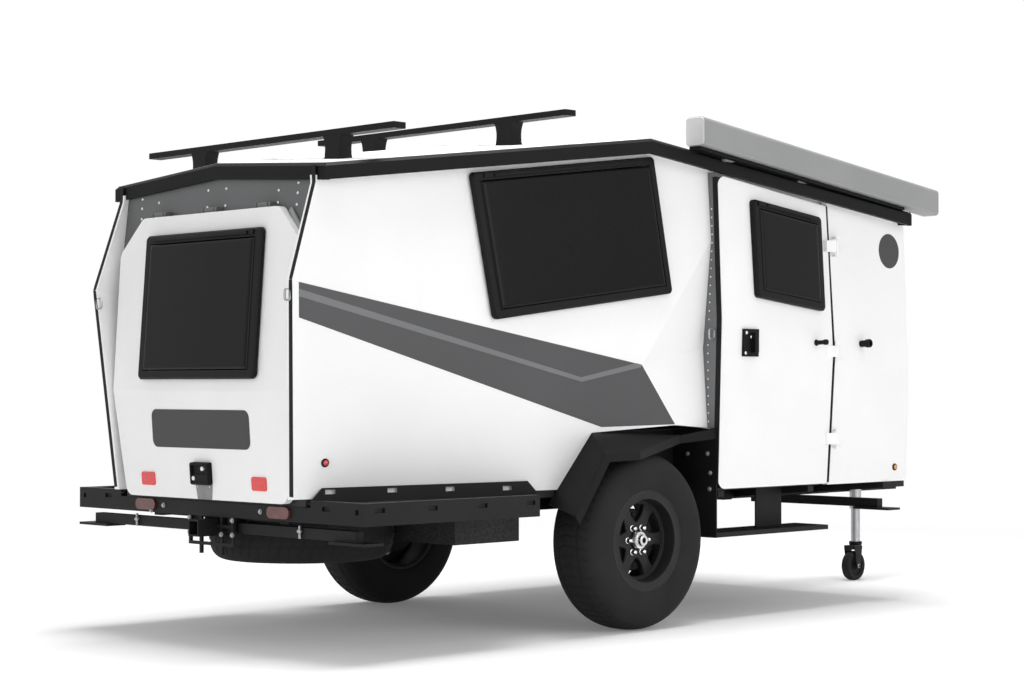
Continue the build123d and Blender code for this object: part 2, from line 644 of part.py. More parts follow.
# Arch flares: black folded plate that runs over the tyre and down its rear side
flare_tip = (valley_low_x(250, 790), 250, 790)
flare_front = (flare_x, -109, 733)
flare_top_z = plane_through(*[(z, x, y) for x, y, z in (flare_tip, flare_front, arch_rear)])
flare_rear = (flare_x, -309, flare_top_z(flare_x, -309))
flare_foot_wall = (lower_x(arch_foot_y, arch_foot_z), arch_foot_y, arch_foot_z)
flare_leg_z = plane_through(*[(z, x, y) for x, y, z in (arch_rear, flare_rear, flare_foot_wall)])
flare_foot = (flare_x, -484, flare_leg_z(flare_x, -484))
flare_t = 5.0
flare_lip = 34.0
with BuildPart() as arch_flares:
    extrude(sheet([flare_tip, flare_front, flare_rear, arch_rear]), amount=flare_t, dir=(0, 0, -1))
    extrude(sheet([arch_rear, flare_rear, flare_foot, flare_foot_wall]), amount=flare_t, dir=(0, 1, -1))
    lip = [flare_tip, flare_front, flare_rear, flare_foot]
    for p, q in zip(lip, lip[1:]):
        drop = [(x, y + (20 if z < 600 or (x, y, z) == flare_rear else 0), z - flare_lip) for x, y, z in (q, p)]
        extrude(sheet([p, q, drop[0]]), amount=flare_t, dir=(-1, 0, 0))
        extrude(sheet([p, drop[0], drop[1]]), amount=flare_t, dir=(-1, 0, 0))
    mirror(arch_flares.part, about=Plane.YZ)
pieces["arch_flares"] = arch_flares

# Awning cassette along the roof's kerb edge, on three feet
awning_fall = (roof_front_z - roof_peak_z) / (roof_front_y - roof_peak_y)
awning_low = 9.0
with BuildPart() as awning:
    low0 = roof_z(eave_x(awning_rear_y), awning_rear_y) + awning_low
    low1 = low0 + (awning_front_y - awning_rear_y) * awning_fall
    side = [(awning_rear_y, low0), (awning_front_y, low1), (awning_front_y, low1 + awning_h),
            (awning_rear_y, low0 + awning_h)]
    extrude(sheet([(awning_x, y, z) for y, z in side]), amount=awning_w, dir=(-1, 0, 0))
    fillet(awning.edges().filter_by(lambda e: abs((e @ 1 - e @ 0).Y) > 100), radius=18)
    for y in (500, 1000, 1500):
        z = roof_z(860, y)
        with BuildSketch(Plane.XY.offset(z - 10)):
            with Locations((860, y)):
                Rectangle(30, 60)
        extrude(amount=40)
    add(roof.part, mode=Mode.SUBTRACT)
    add(fascia.part, mode=Mode.SUBTRACT)
pieces["awning"] = awning

# Roof bars on their feet, and the two tracks beside them
bar_half = 770.0
bar_w, bar_h = 60.0, 24.0
bar_foot_x = 420.0
foot_half, neck_half, head_half, foot_w = 62.0, 40.0, 52.0, 64.0
bar_rows = [(-1278.0, 1968.0), (-367.0, 2096.0)]
with BuildPart() as roof_bars:
    for y, z in bar_rows:
        with Locations((0, y, z - bar_h / 2)):
            Box(2 * bar_half, bar_w, bar_h)
        for x in (-bar_foot_x, bar_foot_x):
            with BuildSketch(Plane.XZ.offset(-y - foot_w / 2)):
                foot_z, neck_z = roof_z(x, y) - 30, (roof_z(x, y) + z - bar_h) / 2
                with BuildLine():
                    Line((x + foot_half, foot_z), (x - foot_half, foot_z))
                    ThreePointArc((x - foot_half, foot_z), (x - neck_half, neck_z), (x - head_half, z - bar_h))
                    Line((x - head_half, z - bar_h), (x + head_half, z - bar_h))
                    ThreePointArc((x + head_half, z - bar_h), (x + neck_half, neck_z), (x + foot_half, foot_z))
                make_face()
            extrude(amount=foot_w)
    add(roof.part, mode=Mode.SUBTRACT)
pieces["roof_bars"] = roof_bars

# Chassis: two rails, cross members, outriggers and the straight tongue
rail_top = sill_z - floor_t
with BuildPart() as chassis:
    for x in (-rail_x, rail_x):
        with Locations((x, (rail_rear_y + rail_front_y) / 2, rail_top - rail_h / 2)):
            Box(rail_w, rail_front_y - rail_rear_y, rail_h)
    for y, half, w in ((rail_rear_y + 20, 540, 40), (-640, 400, 40), (0, 560, 60), (480, 840, 40), (1100, 840, 40),
                       (front_leg_y, 860, 60)):
        with BuildSketch(Plane.XZ.offset(-y - w / 2)):
            with BuildLine():
                Polyline((-half, rail_top), (half, rail_top), (half, rail_top - 25), (rail_x, rail_top - 65),
                         (-rail_x, rail_top - 65), (-half, rail_top - 25), close=True)
            make_face()
        extrude(amount=w)
    with Locations((0, (1100 + tongue_tip_y) / 2, rail_top - tongue_h / 2)):
        Box(tongue_w, tongue_tip_y - 1100, tongue_h)
    receiver_z = rail_top - 65 - receiver_out / 2
    with Locations((0, rack_rear_y - 7, receiver_z)):
        Box(receiver_out, receiver_len, receiver_out)
        Box(receiver_in, receiver_len, receiver_in, mode=Mode.SUBTRACT)
    # Spare wheel hanger: plate between the rails, post and clamp disc under the rim
    spare_disc_z = spare_low_z + tyre_w / 2 - spoke_face
    with Locations((0, spare_y, rail_top - 2)):
        Box(2 * rail_x, 120, 4)
    with BuildSketch(Plane.XY.offset(spare_disc_z - seat_gap - 8)):
        with Locations((0, spare_y)):
            Circle(62)
    extrude(amount=8)
    with BuildSketch(Plane.XY.offset(spare_disc_z - seat_gap - 8)):
        with Locations((0, spare_y)):
            Circle(20)
    extrude(amount=rail_top - spare_disc_z + seat_gap + 8)
pieces["chassis"] = chassis

# Stabiliser legs fold flat under the body and swing down
leg_pin_r = 8.0
with BuildPart() as leg_mounts:
    for y in (rear_leg_y, front_leg_y):
        for side in (-1, 1):
            for ear in (-1, 1):
                ear_y = y + ear * (leg_tube / 2 + 8)
                ear_top = rack_low_z if ear_y < rail_rear_y else rail_top
                ear_low = leg_pivot_z - leg_tube / 2
                with Locations((side * leg_pivot_x, ear_y, (ear_top + ear_low) / 2)):
                    Box(50, 6, ear_top - ear_low)
            with BuildSketch(Plane.XZ.offset(-y - leg_tube / 2 - 11)):
                with Locations((side * leg_pivot_x, leg_pivot_z)):
                    Circle(leg_pin_r)
            extrude(amount=leg_tube + 22)
    add(chassis.part, mode=Mode.SUBTRACT)
pieces["leg_mounts"] = leg_mounts

for end, y in (("rear", rear_leg_y), ("front", front_leg_y)):
    for name, side in (("right", 1), ("left", -1)):
        with BuildPart() as leg:
            with Locations((side * (leg_pivot_x + leg_len / 2), y, leg_pivot_z)):
                Box(leg_len + leg_tube, leg_tube, leg_tube)
            with Locations((side * (leg_pivot_x + leg_len), y, leg_pivot_z - leg_tube / 2 - 5)):
                Box(leg_foot, 90, 10)
            with BuildSketch(Plane.XZ.offset(-y - leg_tube)):
                with Locations((side * leg_pivot_x, leg_pivot_z)):
                    Circle(leg_pin_r + pin_gap)
            extrude(amount=2 * leg_tube, mode=Mode.SUBTRACT)
        pieces[f"stabiliser_{end}_{name}"] = leg

# Coupler with its socket for the tow ball and its latch lever
coupler_low_z, coupler_h, coupler_round = rail_top - tongue_h / 2 - 40, 70.0, 14.0
lever_w, lever_h = 26.0, 18.0
with BuildPart() as coupler:
    nose_r = coupler_tip_y - ball_y
    with BuildSketch(Plane.XY.offset(coupler_low_z)):
        with BuildLine():
            Polyline((-tongue_w / 2, tongue_tip_y), (tongue_w / 2, tongue_tip_y), (nose_r, ball_y),
                     (-nose_r, ball_y), close=True)
        make_face()
        with Locations((0, ball_y)):
            Circle(nose_r)
    extrude(amount=coupler_h)
    fillet(coupler.faces().sort_by(Axis.Z)[-1].edges(), coupler_round)
    with BuildSketch(Plane.XY.offset(coupler_low_z)):
        with Locations((0, ball_y)):
            Circle(ball_r)
    extrude(amount=ball_depth, mode=Mode.SUBTRACT)
    # Latch lever on top, hinged at its rear
    with BuildSketch(Plane.YZ.offset(-lever_w / 2)):
        with BuildLine():
            Polyline((tongue_tip_y + 4, coupler_low_z + coupler_h), (ball_y - 10, coupler_low_z + coupler_h),
                     (ball_y - 22, coupler_low_z + coupler_h + lever_h),
                     (tongue_tip_y - 60, coupler_low_z + coupler_h + lever_h + 34),
                     (tongue_tip_y - 64, coupler_low_z + coupler_h + lever_h + 22),
                     (tongue_tip_y + 10, coupler_low_z + coupler_h + 26), close=True)
        make_face()
    extrude(amount=lever_w)
pieces["coupler"] = coupler

# Jack: outer tube clamped beside the tongue, sliding leg, caster fork and wheel
crank_len, grip_r, grip_len = 130.0, 11.0, 85.0
with BuildPart() as jack_tube:
    with BuildSketch(Plane.XY.offset(jack_out_foot_z)):
        with Locations((jack_x, jack_y)):
            Circle(jack_out_r)
            Circle(jack_in_r + pin_gap, mode=Mode.SUBTRACT)
    extrude(amount=jack_top_z - jack_out_foot_z)
    with Locations((jack_x, jack_y, jack_top_z + 6)):
        Cylinder(jack_out_r + 3, 12)
    # Crank on the head: arm and upright grip
    with Locations((jack_x, jack_y, jack_top_z + 20)):
        Box(22, 22, 16)
    with BuildSketch(Plane.XY.offset(jack_top_z + 28)):
        with Locations((jack_x, jack_y - crank_len / 2)):
            SlotCenterToCenter(crank_len, 24, rotation=90)
    extrude(amount=8)
    with BuildSketch(Plane.XY.offset(jack_top_z + 36)):
        with Locations((jack_x, jack_y - crank_len)):
            Circle(grip_r)
    extrude(amount=grip_len)
    with Locations(((tongue_w / 2 + jack_x - jack_in_r - 3) / 2, jack_y, rail_top - tongue_h / 2)):
        Box(jack_x - jack_in_r - 3 - tongue_w / 2, 80, 80)
pieces["jack_tube"] = jack_tube

fork_top_z = 178.0
with BuildPart() as jack_leg:
    with BuildSketch(Plane.XY.offset(fork_top_z)):
        with Locations((jack_x, jack_y)):
            Circle(jack_in_r)
    extrude(amount=560 - fork_top_z)
    with BuildSketch(Plane.XY.offset(fork_top_z - 20)):
        with Locations((jack_x, jack_y)):
            Circle(9)
    extrude(amount=20)
pieces["jack_leg"] = jack_leg

with BuildPart() as caster_fork:
    with BuildSketch(Plane.XY.offset(fork_top_z - 20)):
        with Locations((jack_x, jack_y)):
            Circle(30)
        with Locations((jack_x, jack_y - caster_trail)):
            Rectangle(2 * (caster_w / 2 + 12), 60)
        with Locations((jack_x, jack_y)):
            Circle(9 + pin_gap, mode=Mode.SUBTRACT)
    extrude(amount=19.7)
    for side in (-1, 1):
        with BuildSketch(Plane.YZ.offset(jack_x + side * (caster_w / 2 + 9) - 3)):
            with BuildLine():
                Polyline((jack_y - caster_trail - 30, fork_top_z - 10), (jack_y - caster_trail + 30, fork_top_z - 10),
                         (jack_y - caster_trail + 14, caster_r - 14), (jack_y - caster_trail - 14, caster_r - 14),
                         close=True)
            make_face()
        extrude(amount=6)
    with BuildSketch(Plane.YZ.offset(jack_x - caster_w / 2 - 16)):
        with Locations((jack_y - caster_trail, caster_r)):
            Circle(7)
    extrude(amount=caster_w + 32)
pieces["caster_fork"] = caster_fork

with BuildPart() as caster_wheel:
    with BuildSketch(Plane.YZ.offset(jack_x - caster_w / 2)):
        with Locations((jack_y - caster_trail, caster_r)):
            Circle(caster_r)
            Circle(7 + pin_gap, mode=Mode.SUBTRACT)
    extrude(amount=caster_w)
pieces["caster_wheel"] = caster_wheel

# Road wheels: tyre, six-spoke rim, and the drum and hub that turn on the arm's stub
wheel_facets = 48
half_facet = 180 / wheel_facets
tyre_rows = [(94, 201), (113, 245), (117.5, 285), (112, 333), (98, 356), (60, tyre_r)]
carcass_rows = [(78, 199), (98, 285), (92, 338)]
spokes, spoke_w = 6, 50.0
lip_r, pocket_r, window_r, disc_r = 170.0, 164.0, 150.0, 72.0
well_r, well_deep_r, flange_t = 184.0, 190.0, 5.7
rim_half = 104.0
drum_r, ring_r, cap_r, cap_bore_r = 128.0, 36.0, 24.0, 11.0
lug_circle_r, lug_r, lug_len = 56.0, 10.0, 24.0
ring_len, cap_len = 22.0, 42.0


def polygon_ring(rows):
    """Gives the polygon at each row of (x, r), with a flat at its foot; r reaches to its flats."""
    sections = []
    for x, r in rows:
        with BuildSketch(Plane.YZ.offset(x)) as section:
            RegularPolygon(r, wheel_facets, major_radius=False, rotation=half_facet)
        sections.append(section.sketch)
    return sections


def both_sides(rows):
    """Gives rows of (x, r) from one side of the wheel to the other, mirrored about its middle."""
    return [(-x, r) for x, r in rows] + [(x, r) for x, r in reversed(rows)]


with BuildPart() as tyre_shape:
    loft(polygon_ring(both_sides(tyre_rows)), ruled=True)
    loft(polygon_ring(both_sides(carcass_rows)), ruled=True, mode=Mode.SUBTRACT)
    with BuildSketch(Plane.YZ.offset(-tyre_w)):
        RegularPolygon(bore_r, wheel_facets, major_radius=False, rotation=half_facet)
    extrude(amount=2 * tyre_w, mode=Mode.SUBTRACT)

with BuildPart() as rim_shape:
    loft(polygon_ring([(-rim_half, bore_r - seat_gap), (rim_half, bore_r - seat_gap)]), ruled=True)
    for x in (-rim_half, rim_half - flange_t):
        with BuildSketch(Plane.YZ.offset(x)):
            RegularPolygon(rim_flange_r, wheel_facets, major_radius=False, rotation=half_facet)
        extrude(amount=flange_t)
    # The pocket in front of the spokes, the deep well behind them, and the windows between them
    loft(polygon_ring([(spoke_face, pocket_r), (rim_half + 1, lip_r)]), ruled=True, mode=Mode.SUBTRACT)
    back = polygon_ring([(-rim_half - 1, well_deep_r), (spoke_face - spoke_t, well_r)])
    loft(back, ruled=True, mode=Mode.SUBTRACT)
    with BuildSketch(Plane.YZ.offset(spoke_face - spoke_t)):
        RegularPolygon(window_r, wheel_facets, major_radius=False, rotation=half_facet)
        RegularPolygon(disc_r, wheel_facets // 2, major_radius=False, mode=Mode.SUBTRACT)
        with PolarLocations(0, spokes, start_angle=90):
            with Locations((window_r / 2, 0)):
                Rectangle(window_r, spoke_w, mode=Mode.SUBTRACT)
    extrude(amount=spoke_t, mode=Mode.SUBTRACT)
    with BuildSketch(Plane.YZ.offset(spoke_face - spoke_t)):
        RegularPolygon(ring_r + 2, wheel_facets // 2)
    extrude(amount=spoke_t, mode=Mode.SUBTRACT)

with BuildPart() as hub_shape:
    with BuildSketch(Plane.YZ.offset(-60)):
        RegularPolygon(drum_r, wheel_facets, rotation=half_facet)
        Circle(stub_r + pin_gap, mode=Mode.SUBTRACT)
    extrude(amount=spoke_face - spoke_t + 60)
    with BuildSketch(Plane.YZ.offset(spoke_face - spoke_t)):
        RegularPolygon(ring_r, wheel_facets // 2)
    extrude(amount=spoke_t + ring_len)
    with BuildSketch(Plane.YZ.offset(spoke_face + ring_len)):
        RegularPolygon(cap_r, wheel_facets // 2)
    extrude(amount=cap_len - ring_len)
    with BuildSketch(Plane.YZ.offset(spoke_face + ring_len)):
        RegularPolygon(cap_bore_r, 12)
    extrude(amount=cap_len - ring_len, mode=Mode.SUBTRACT)
    with BuildSketch(Plane.YZ.offset(spoke_face)):
        with PolarLocations(lug_circle_r, spokes):
            RegularPolygon(lug_r, 6)
    extrude(amount=lug_len)

mirror_wheel = {"right": Location((wheel_x, 0, tyre_r)), "left": Location((-wheel_x, 0, tyre_r), (0, 0, 180))}
for side, place in mirror_wheel.items():
    for name, shape in (("tyre", tyre_shape), ("rim", rim_shape), ("hub", hub_shape)):
        with BuildPart() as moved:
            add(shape.part.moved(place))
        pieces[f"{name}_{side}"] = moved

# Suspension: trailing arms on the rails, with the stub that carries the hub
with BuildPart() as suspension_arms:
    with Locations(((rail_x + rail_w / 2 + 600) / 2, 30, tyre_r + 62)):
        Box(600 - rail_x - rail_w / 2, 90, 124)
    with BuildSketch(Plane.YZ.offset(600)):
        with BuildLine():
            Polyline((-45, tyre_r - 40), (45, tyre_r - 40), (75, tyre_r + 124), (-15, tyre_r + 124), close=True)
        make_face()
    extrude(amount=60)
    with BuildSketch(Plane.YZ.offset(655)):
        with Locations((0, tyre_r)):
            Circle(stub_r)
    extrude(amount=wheel_x + 20 - 655)
    add(chassis.part, mode=Mode.SUBTRACT)
    add(wheel_wells.part, mode=Mode.SUBTRACT)
    mirror(suspension_arms.part, about=Plane.YZ)
pieces["suspension_arms"] = suspension_arms

# Spare wheel, flat under the tail
spare_place = Location((0, spare_y, spare_low_z + tyre_w / 2), (0, 90, 0))
with BuildPart() as spare_tyre:
    add(tyre_shape.part.moved(spare_place))
pieces["spare_tyre"] = spare_tyre
with BuildPart() as spare_rim:
    add(rim_shape.part.moved(spare_place))
pieces["spare_rim"] = spare_rim

# Water tank under the floor
with BuildPart() as water_tank:
    with Locations((430, -663, rail_top - rail_h - 52)):
        Box(340, 350, 104)
    add(chassis.part, mode=Mode.SUBTRACT)
pieces["water_tank"] = water_tank

# Step below the door
with BuildPart() as step:
    with Locations((736, 845, 364)):
        Box(190, 790, 20)
    with Locations((700, 975, (374 + rail_top) / 2)):
        Box(8, 180, rail_top - 374)
    with Locations((760, 460, 364)):
        Box(100, 28, 20)
pieces["step"] = step

# Cargo rack: folded side trays with slotted flanges, and the rear beam that joins them
tray_t, tray_z = 4.0, rack_high_z - 14
tray_tip_x, tray_tip_y = 712.0, -505.0
flange_rear_x, flange_front_x, flange_front_y = 584.0, 714.0, -490.0
flange_high_z, flange_slope_len = 622.0, 60.0
slot_len, slot_h = 46.0, 17.0
flange_slots = [(-1463, 607), (-1189, 605), (-922, 602), (-649, 597)]
face_slots = [(-1483, 551), (-1227, 550), (-974, 549), (-720, 550)]
end_hole_x, end_hole_z, end_hole_w = 859.0, 546.0, 18.0
corner_x = 600.0
hang_bar, hang_out_x, hang_in_x = 12.0, 135.0, 66.0
hang_low_z, hang_mid_z, hang_tail_z = 385.0, 460.0, 352.0
with BuildPart() as cargo_rack:
    mid_z = (rack_low_z + rack_high_z) / 2
    with Locations((0, rack_rear_y + beam_d / 2, (rack_low_z + beam_high_z) / 2)):
        Box(2 * corner_x, beam_d, beam_high_z - rack_low_z)
    with Locations(((corner_x + rack_x) / 2, rack_rear_y + beam_d / 2, mid_z)):
        Box(rack_x - corner_x, beam_d, rack_high_z - rack_low_z)
    with Locations((rack_x - beam_d / 2, (rack_rear_y + rack_front_y) / 2, mid_z)):
        Box(beam_d, rack_front_y - rack_rear_y, rack_high_z - rack_low_z)
    with BuildSketch(Plane.XY.offset(tray_z)):
        with BuildLine():
            Polyline((flange_rear_x + tray_t, rack_rear_y), (rack_x - beam_d / 2, rack_rear_y),
                     (rack_x - beam_d / 2, rack_front_y), (tray_tip_x, tray_tip_y),
                     (tray_tip_x - 10, tray_tip_y), close=True)
        make_face()
    extrude(amount=tray_t)

    def flange_x(y):
        return ramp(y, rack_rear_y, flange_front_y, flange_rear_x, flange_front_x)

    flange = [(rack_rear_y, tray_z), (flange_front_y, tray_z), (flange_front_y - flange_slope_len, flange_high_z),
              (rack_rear_y + flange_slope_len, flange_high_z)]
    extrude(sheet([(flange_x(y), y, z) for y, z in flange]), amount=tray_t, dir=(1, 0, 0))
    for y, z in flange_slots:
        with Locations((flange_x(y), y, z)):
            Box(4 * tray_t, slot_len, slot_h, mode=Mode.SUBTRACT)
    for y, z in face_slots:
        with Locations((rack_x, y, z)):
            Box(4 * tray_t, slot_len, slot_h, mode=Mode.SUBTRACT)
    with Locations(((corner_x + rack_x) / 2 - 60, rack_rear_y, face_slots[0][1])):
        Box(slot_len, 4 * tray_t, slot_h, mode=Mode.SUBTRACT)
    with Locations((end_hole_x, rack_rear_y, end_hole_z)):
        Box(end_hole_w, 4 * tray_t, end_hole_w, mode=Mode.SUBTRACT)
    # Frame of square bar that hangs from the beam round the receiver
    bar_y = rack_rear_y + hang_bar / 2
    for x, low in ((hang_out_x, hang_low_z), (hang_in_x, hang_tail_z)):
        with Locations((x, bar_y, (low + rack_low_z) / 2)):
            Box(hang_bar, hang_bar, rack_low_z - low)
    for z in (hang_low_z + hang_bar / 2, hang_mid_z):
        with Locations((hang_out_x / 2, bar_y, z)):
            Box(hang_out_x, hang_bar, hang_bar)
    with Locations((0, bar_y, receiver_z)):
        Box(receiver_out, 2 * hang_bar, receiver_out, mode=Mode.SUBTRACT)
    mirror(cargo_rack.part, about=Plane.YZ)
pieces["cargo_rack"] = cargo_rack

# Tail lamps on the rear beam
lamp_x, lamp_z, lamp_w, lamp_h, lamp_t = 420.0, 527.0, 130.0, 44.0, 10.0
with BuildPart() as tail_lamps:
    for x in (-lamp_x, lamp_x):
        with BuildSketch(Plane.XZ.offset(-rack_rear_y)):
            with Locations((x, lamp_z)):
                RectangleRounded(lamp_w, lamp_h, lamp_h / 2 - 1)
        extrude(amount=lamp_t)
pieces["tail_lamps"] = tail_lamps

os.makedirs("parts", exist_ok=True)
for name, piece in pieces.items():
    placed = piece.part.moved(to_base_centre)
    placed.label = name
    export_step(placed, f"parts/{name}.step")
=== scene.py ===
from math import cos, pi, radians, sin

import bpy
import numpy as np
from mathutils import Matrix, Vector
from mathutils.bvhtree import BVHTree


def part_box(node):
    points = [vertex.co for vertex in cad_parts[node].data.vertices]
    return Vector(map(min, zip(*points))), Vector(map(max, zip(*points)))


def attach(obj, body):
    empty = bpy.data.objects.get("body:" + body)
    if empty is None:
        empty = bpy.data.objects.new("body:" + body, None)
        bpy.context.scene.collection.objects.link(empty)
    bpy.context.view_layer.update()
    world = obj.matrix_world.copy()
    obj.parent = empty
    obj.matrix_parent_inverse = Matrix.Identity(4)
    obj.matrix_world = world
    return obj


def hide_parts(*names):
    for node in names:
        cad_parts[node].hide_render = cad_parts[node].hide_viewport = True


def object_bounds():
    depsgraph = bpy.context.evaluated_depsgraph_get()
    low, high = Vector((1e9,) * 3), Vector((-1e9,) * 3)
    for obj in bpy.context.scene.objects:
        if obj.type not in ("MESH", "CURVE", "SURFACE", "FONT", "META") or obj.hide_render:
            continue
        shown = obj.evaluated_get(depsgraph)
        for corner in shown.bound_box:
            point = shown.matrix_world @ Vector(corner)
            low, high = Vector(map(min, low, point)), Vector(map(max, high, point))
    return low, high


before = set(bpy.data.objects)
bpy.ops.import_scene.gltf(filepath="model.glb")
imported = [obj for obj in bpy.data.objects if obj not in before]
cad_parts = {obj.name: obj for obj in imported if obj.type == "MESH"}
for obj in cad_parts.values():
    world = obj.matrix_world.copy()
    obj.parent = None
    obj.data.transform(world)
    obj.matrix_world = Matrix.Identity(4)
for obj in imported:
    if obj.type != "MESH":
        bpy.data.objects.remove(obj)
cad_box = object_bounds()

# Trailer coordinates: metres from the point on the ground midway between the road wheels,
# X to the kerb side, Y to the tow hitch, Z up. The road wheels' boxes give that point in the frame.
near_tyre, far_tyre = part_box("tyre_right"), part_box("tyre_left")
tyre_r = (near_tyre[1].z - near_tyre[0].z) / 2
tyre_half = (near_tyre[1].x - near_tyre[0].x) / 2
wheel_x = (near_tyre[0].x + near_tyre[1].x - far_tyre[0].x - far_tyre[1].x) / 4
axle = (near_tyre[0] + near_tyre[1] + far_tyre[0] + far_tyre[1]) / 4
ground = np.array((axle.x, axle.y, 0.0))


# Camera: the photograph's own, fitted to the corners of the body. It stands off the tail on the
# kerb side at chest height and looks very slightly up.
focal_px, photo_width_px = 2117.0, 1024.0
camera_data = bpy.data.cameras.new("camera")
camera_data.sensor_width = 36.0
camera_data.lens = camera_data.sensor_width * focal_px / photo_width_px
camera = bpy.data.objects.new("camera", camera_data)
bpy.context.scene.collection.objects.link(camera)
camera.location = Vector(ground) + Vector((6.580, -6.459, 0.995))
camera.rotation_euler = (radians(90 + 1.069), 0.0, radians(45.232))
bpy.context.scene.camera = camera
bpy.context.scene.view_settings.view_transform = "Standard"


# Floor and light: a pale studio floor that fades into white, one wide soft lamp overhead for the shadow
# under the trailer, weaker ones from the kerb side and from the tail, and a white world.
def linear(code):
    """Turns an sRGB hex colour into linear RGBA: the sRGB curve's inverse on each channel."""
    channels = [int(code[i:i + 2], 16) / 255 for i in (1, 3, 5)]
    curve = [c / 12.92 if c <= 0.04045 else ((c + 0.055) / 1.055) ** 2.4 for c in channels]
    return (*curve, 1.0)


def add_node(tree, kind, inputs=None, **settings):
    """Adds a node with its settings; inputs maps a socket's name or number to a value or a link."""
    node = tree.nodes.new(kind)
    for key, value in settings.items():
        setattr(node, key, value)
    for key, value in (inputs or {}).items():
        if isinstance(value, bpy.types.NodeSocket):
            tree.links.new(value, node.inputs[key])
        else:
            node.inputs[key].default_value = value
    return node


def seen_direct(tree):
    """Gives 1 on rays from the camera, off metal or through glass, and 0 on rays that carry light."""
    path = add_node(tree, "ShaderNodeLightPath")
    seen, mirrored = path.outputs["Is Camera Ray"], path.outputs["Is Glossy Ray"]
    first = add_node(tree, "ShaderNodeMath", {0: seen, 1: mirrored}, operation="MAXIMUM")
    both = add_node(tree, "ShaderNodeMath", {0: first.outputs[0], 1: path.outputs["Is Transmission Ray"]},
                    operation="MAXIMUM")
    return both.outputs[0]


world = bpy.data.worlds.new("studio")
bpy.context.scene.world = world
world.use_nodes = True
world.node_tree.nodes.clear()
sky_white, ambient_light = linear("#ffffff"), 0.48
dim = add_node(world.node_tree, "ShaderNodeBackground", {"Color": sky_white, "Strength": ambient_light})
white = add_node(world.node_tree, "ShaderNodeBackground", {"Color": sky_white, "Strength": 1.0})
mixed = add_node(world.node_tree, "ShaderNodeMixShader",
                 {0: seen_direct(world.node_tree), 1: dim.outputs[0], 2: white.outputs[0]})
add_node(world.node_tree, "ShaderNodeOutputWorld", {"Surface": mixed.outputs[0]})

floor_half, fade_start, fade_end = 40.0, 3.2, 6.5
floor_mesh = bpy.data.meshes.new("studio_floor")
floor_mesh.from_pydata([(-floor_half, -floor_half, 0), (floor_half, -floor_half, 0),
                        (floor_half, floor_half, 0), (-floor_half, floor_half, 0)], [], [(0, 1, 2, 3)])
studio_floor = bpy.data.objects.new("studio_floor", floor_mesh)
bpy.context.scene.collection.objects.link(studio_floor)
floor_material = bpy.data.materials.new("white_vinyl_backdrop")
floor_material.use_nodes = True
tree = floor_material.node_tree
tree.nodes.clear()
vinyl = add_node(tree, "ShaderNodeBsdfDiffuse", {"Color": linear("#f4f4f4")})
lift = add_node(tree, "ShaderNodeEmission", {"Color": linear("#ffffff"), "Strength": 0.12})
near = add_node(tree, "ShaderNodeAddShader", {0: vinyl.outputs[0], 1: lift.outputs[0]})
far = add_node(tree, "ShaderNodeEmission", {"Color": linear("#ffffff"), "Strength": 1.0})
place = add_node(tree, "ShaderNodeTexCoord")
spread = add_node(tree, "ShaderNodeVectorMath", {0: place.outputs["Object"]}, operation="LENGTH")
fade_range = {"Value": spread.outputs["Value"], "From Min": fade_start, "From Max": fade_end}
fade = add_node(tree, "ShaderNodeMapRange", fade_range, interpolation_type="SMOOTHSTEP")
seen = add_node(tree, "ShaderNodeMixShader", {0: fade.outputs[0], 1: near.outputs[0], 2: far.outputs[0]})
lit = add_node(tree, "ShaderNodeMixShader", {0: seen_direct(tree), 1: vinyl.outputs[0], 2: seen.outputs[0]})
add_node(tree, "ShaderNodeOutputMaterial", {"Surface": lit.outputs[0]})
floor_mesh.materials.append(floor_material)


def add_lamp(name, place, target, size, power):
    """Adds a square soft lamp of that size and power that looks at a point in trailer coordinates."""
    data = bpy.data.lights.new(name, "AREA")
    data.size = size
    data.energy = power
    lamp = bpy.data.objects.new(name, data)
    bpy.context.scene.collection.objects.link(lamp)
    lamp.location = Vector(ground) + Vector(place)
    lamp.rotation_euler = (Vector(target) - Vector(place)).to_track_quat("-Z", "Y").to_euler()


add_lamp("overhead", (0.0, 0.2, 7.5), (0.0, 0.1, 0.0), 4.5, 600)
add_lamp("kerb_side", (8.0, 1.0, 3.0), (0.0, 0.2, 1.0), 5.0, 150)
add_lamp("tail_side", (3.4, -8.2, 2.6), (0.0, 0.0, 1.0), 4.0, 110)


# Shell skins: white composite panels over the walls, roof, door and hatch. The gelcoat is matt, with
# a faint orange peel and slow tone drift from panel to panel.
def new_material(name, **shader):
    """Makes a material with one Principled shader; shader gives its sockets by name with _ for a space."""
    made = bpy.data.materials.new(name)
    made.use_nodes = True
    made.node_tree.nodes.clear()
    sockets = {key.replace("_", " "): value for key, value in shader.items()}
    principled = add_node(made.node_tree, "ShaderNodeBsdfPrincipled", sockets)
    add_node(made.node_tree, "ShaderNodeOutputMaterial", {"Surface": principled.outputs[0]})
    return made, made.node_tree, principled


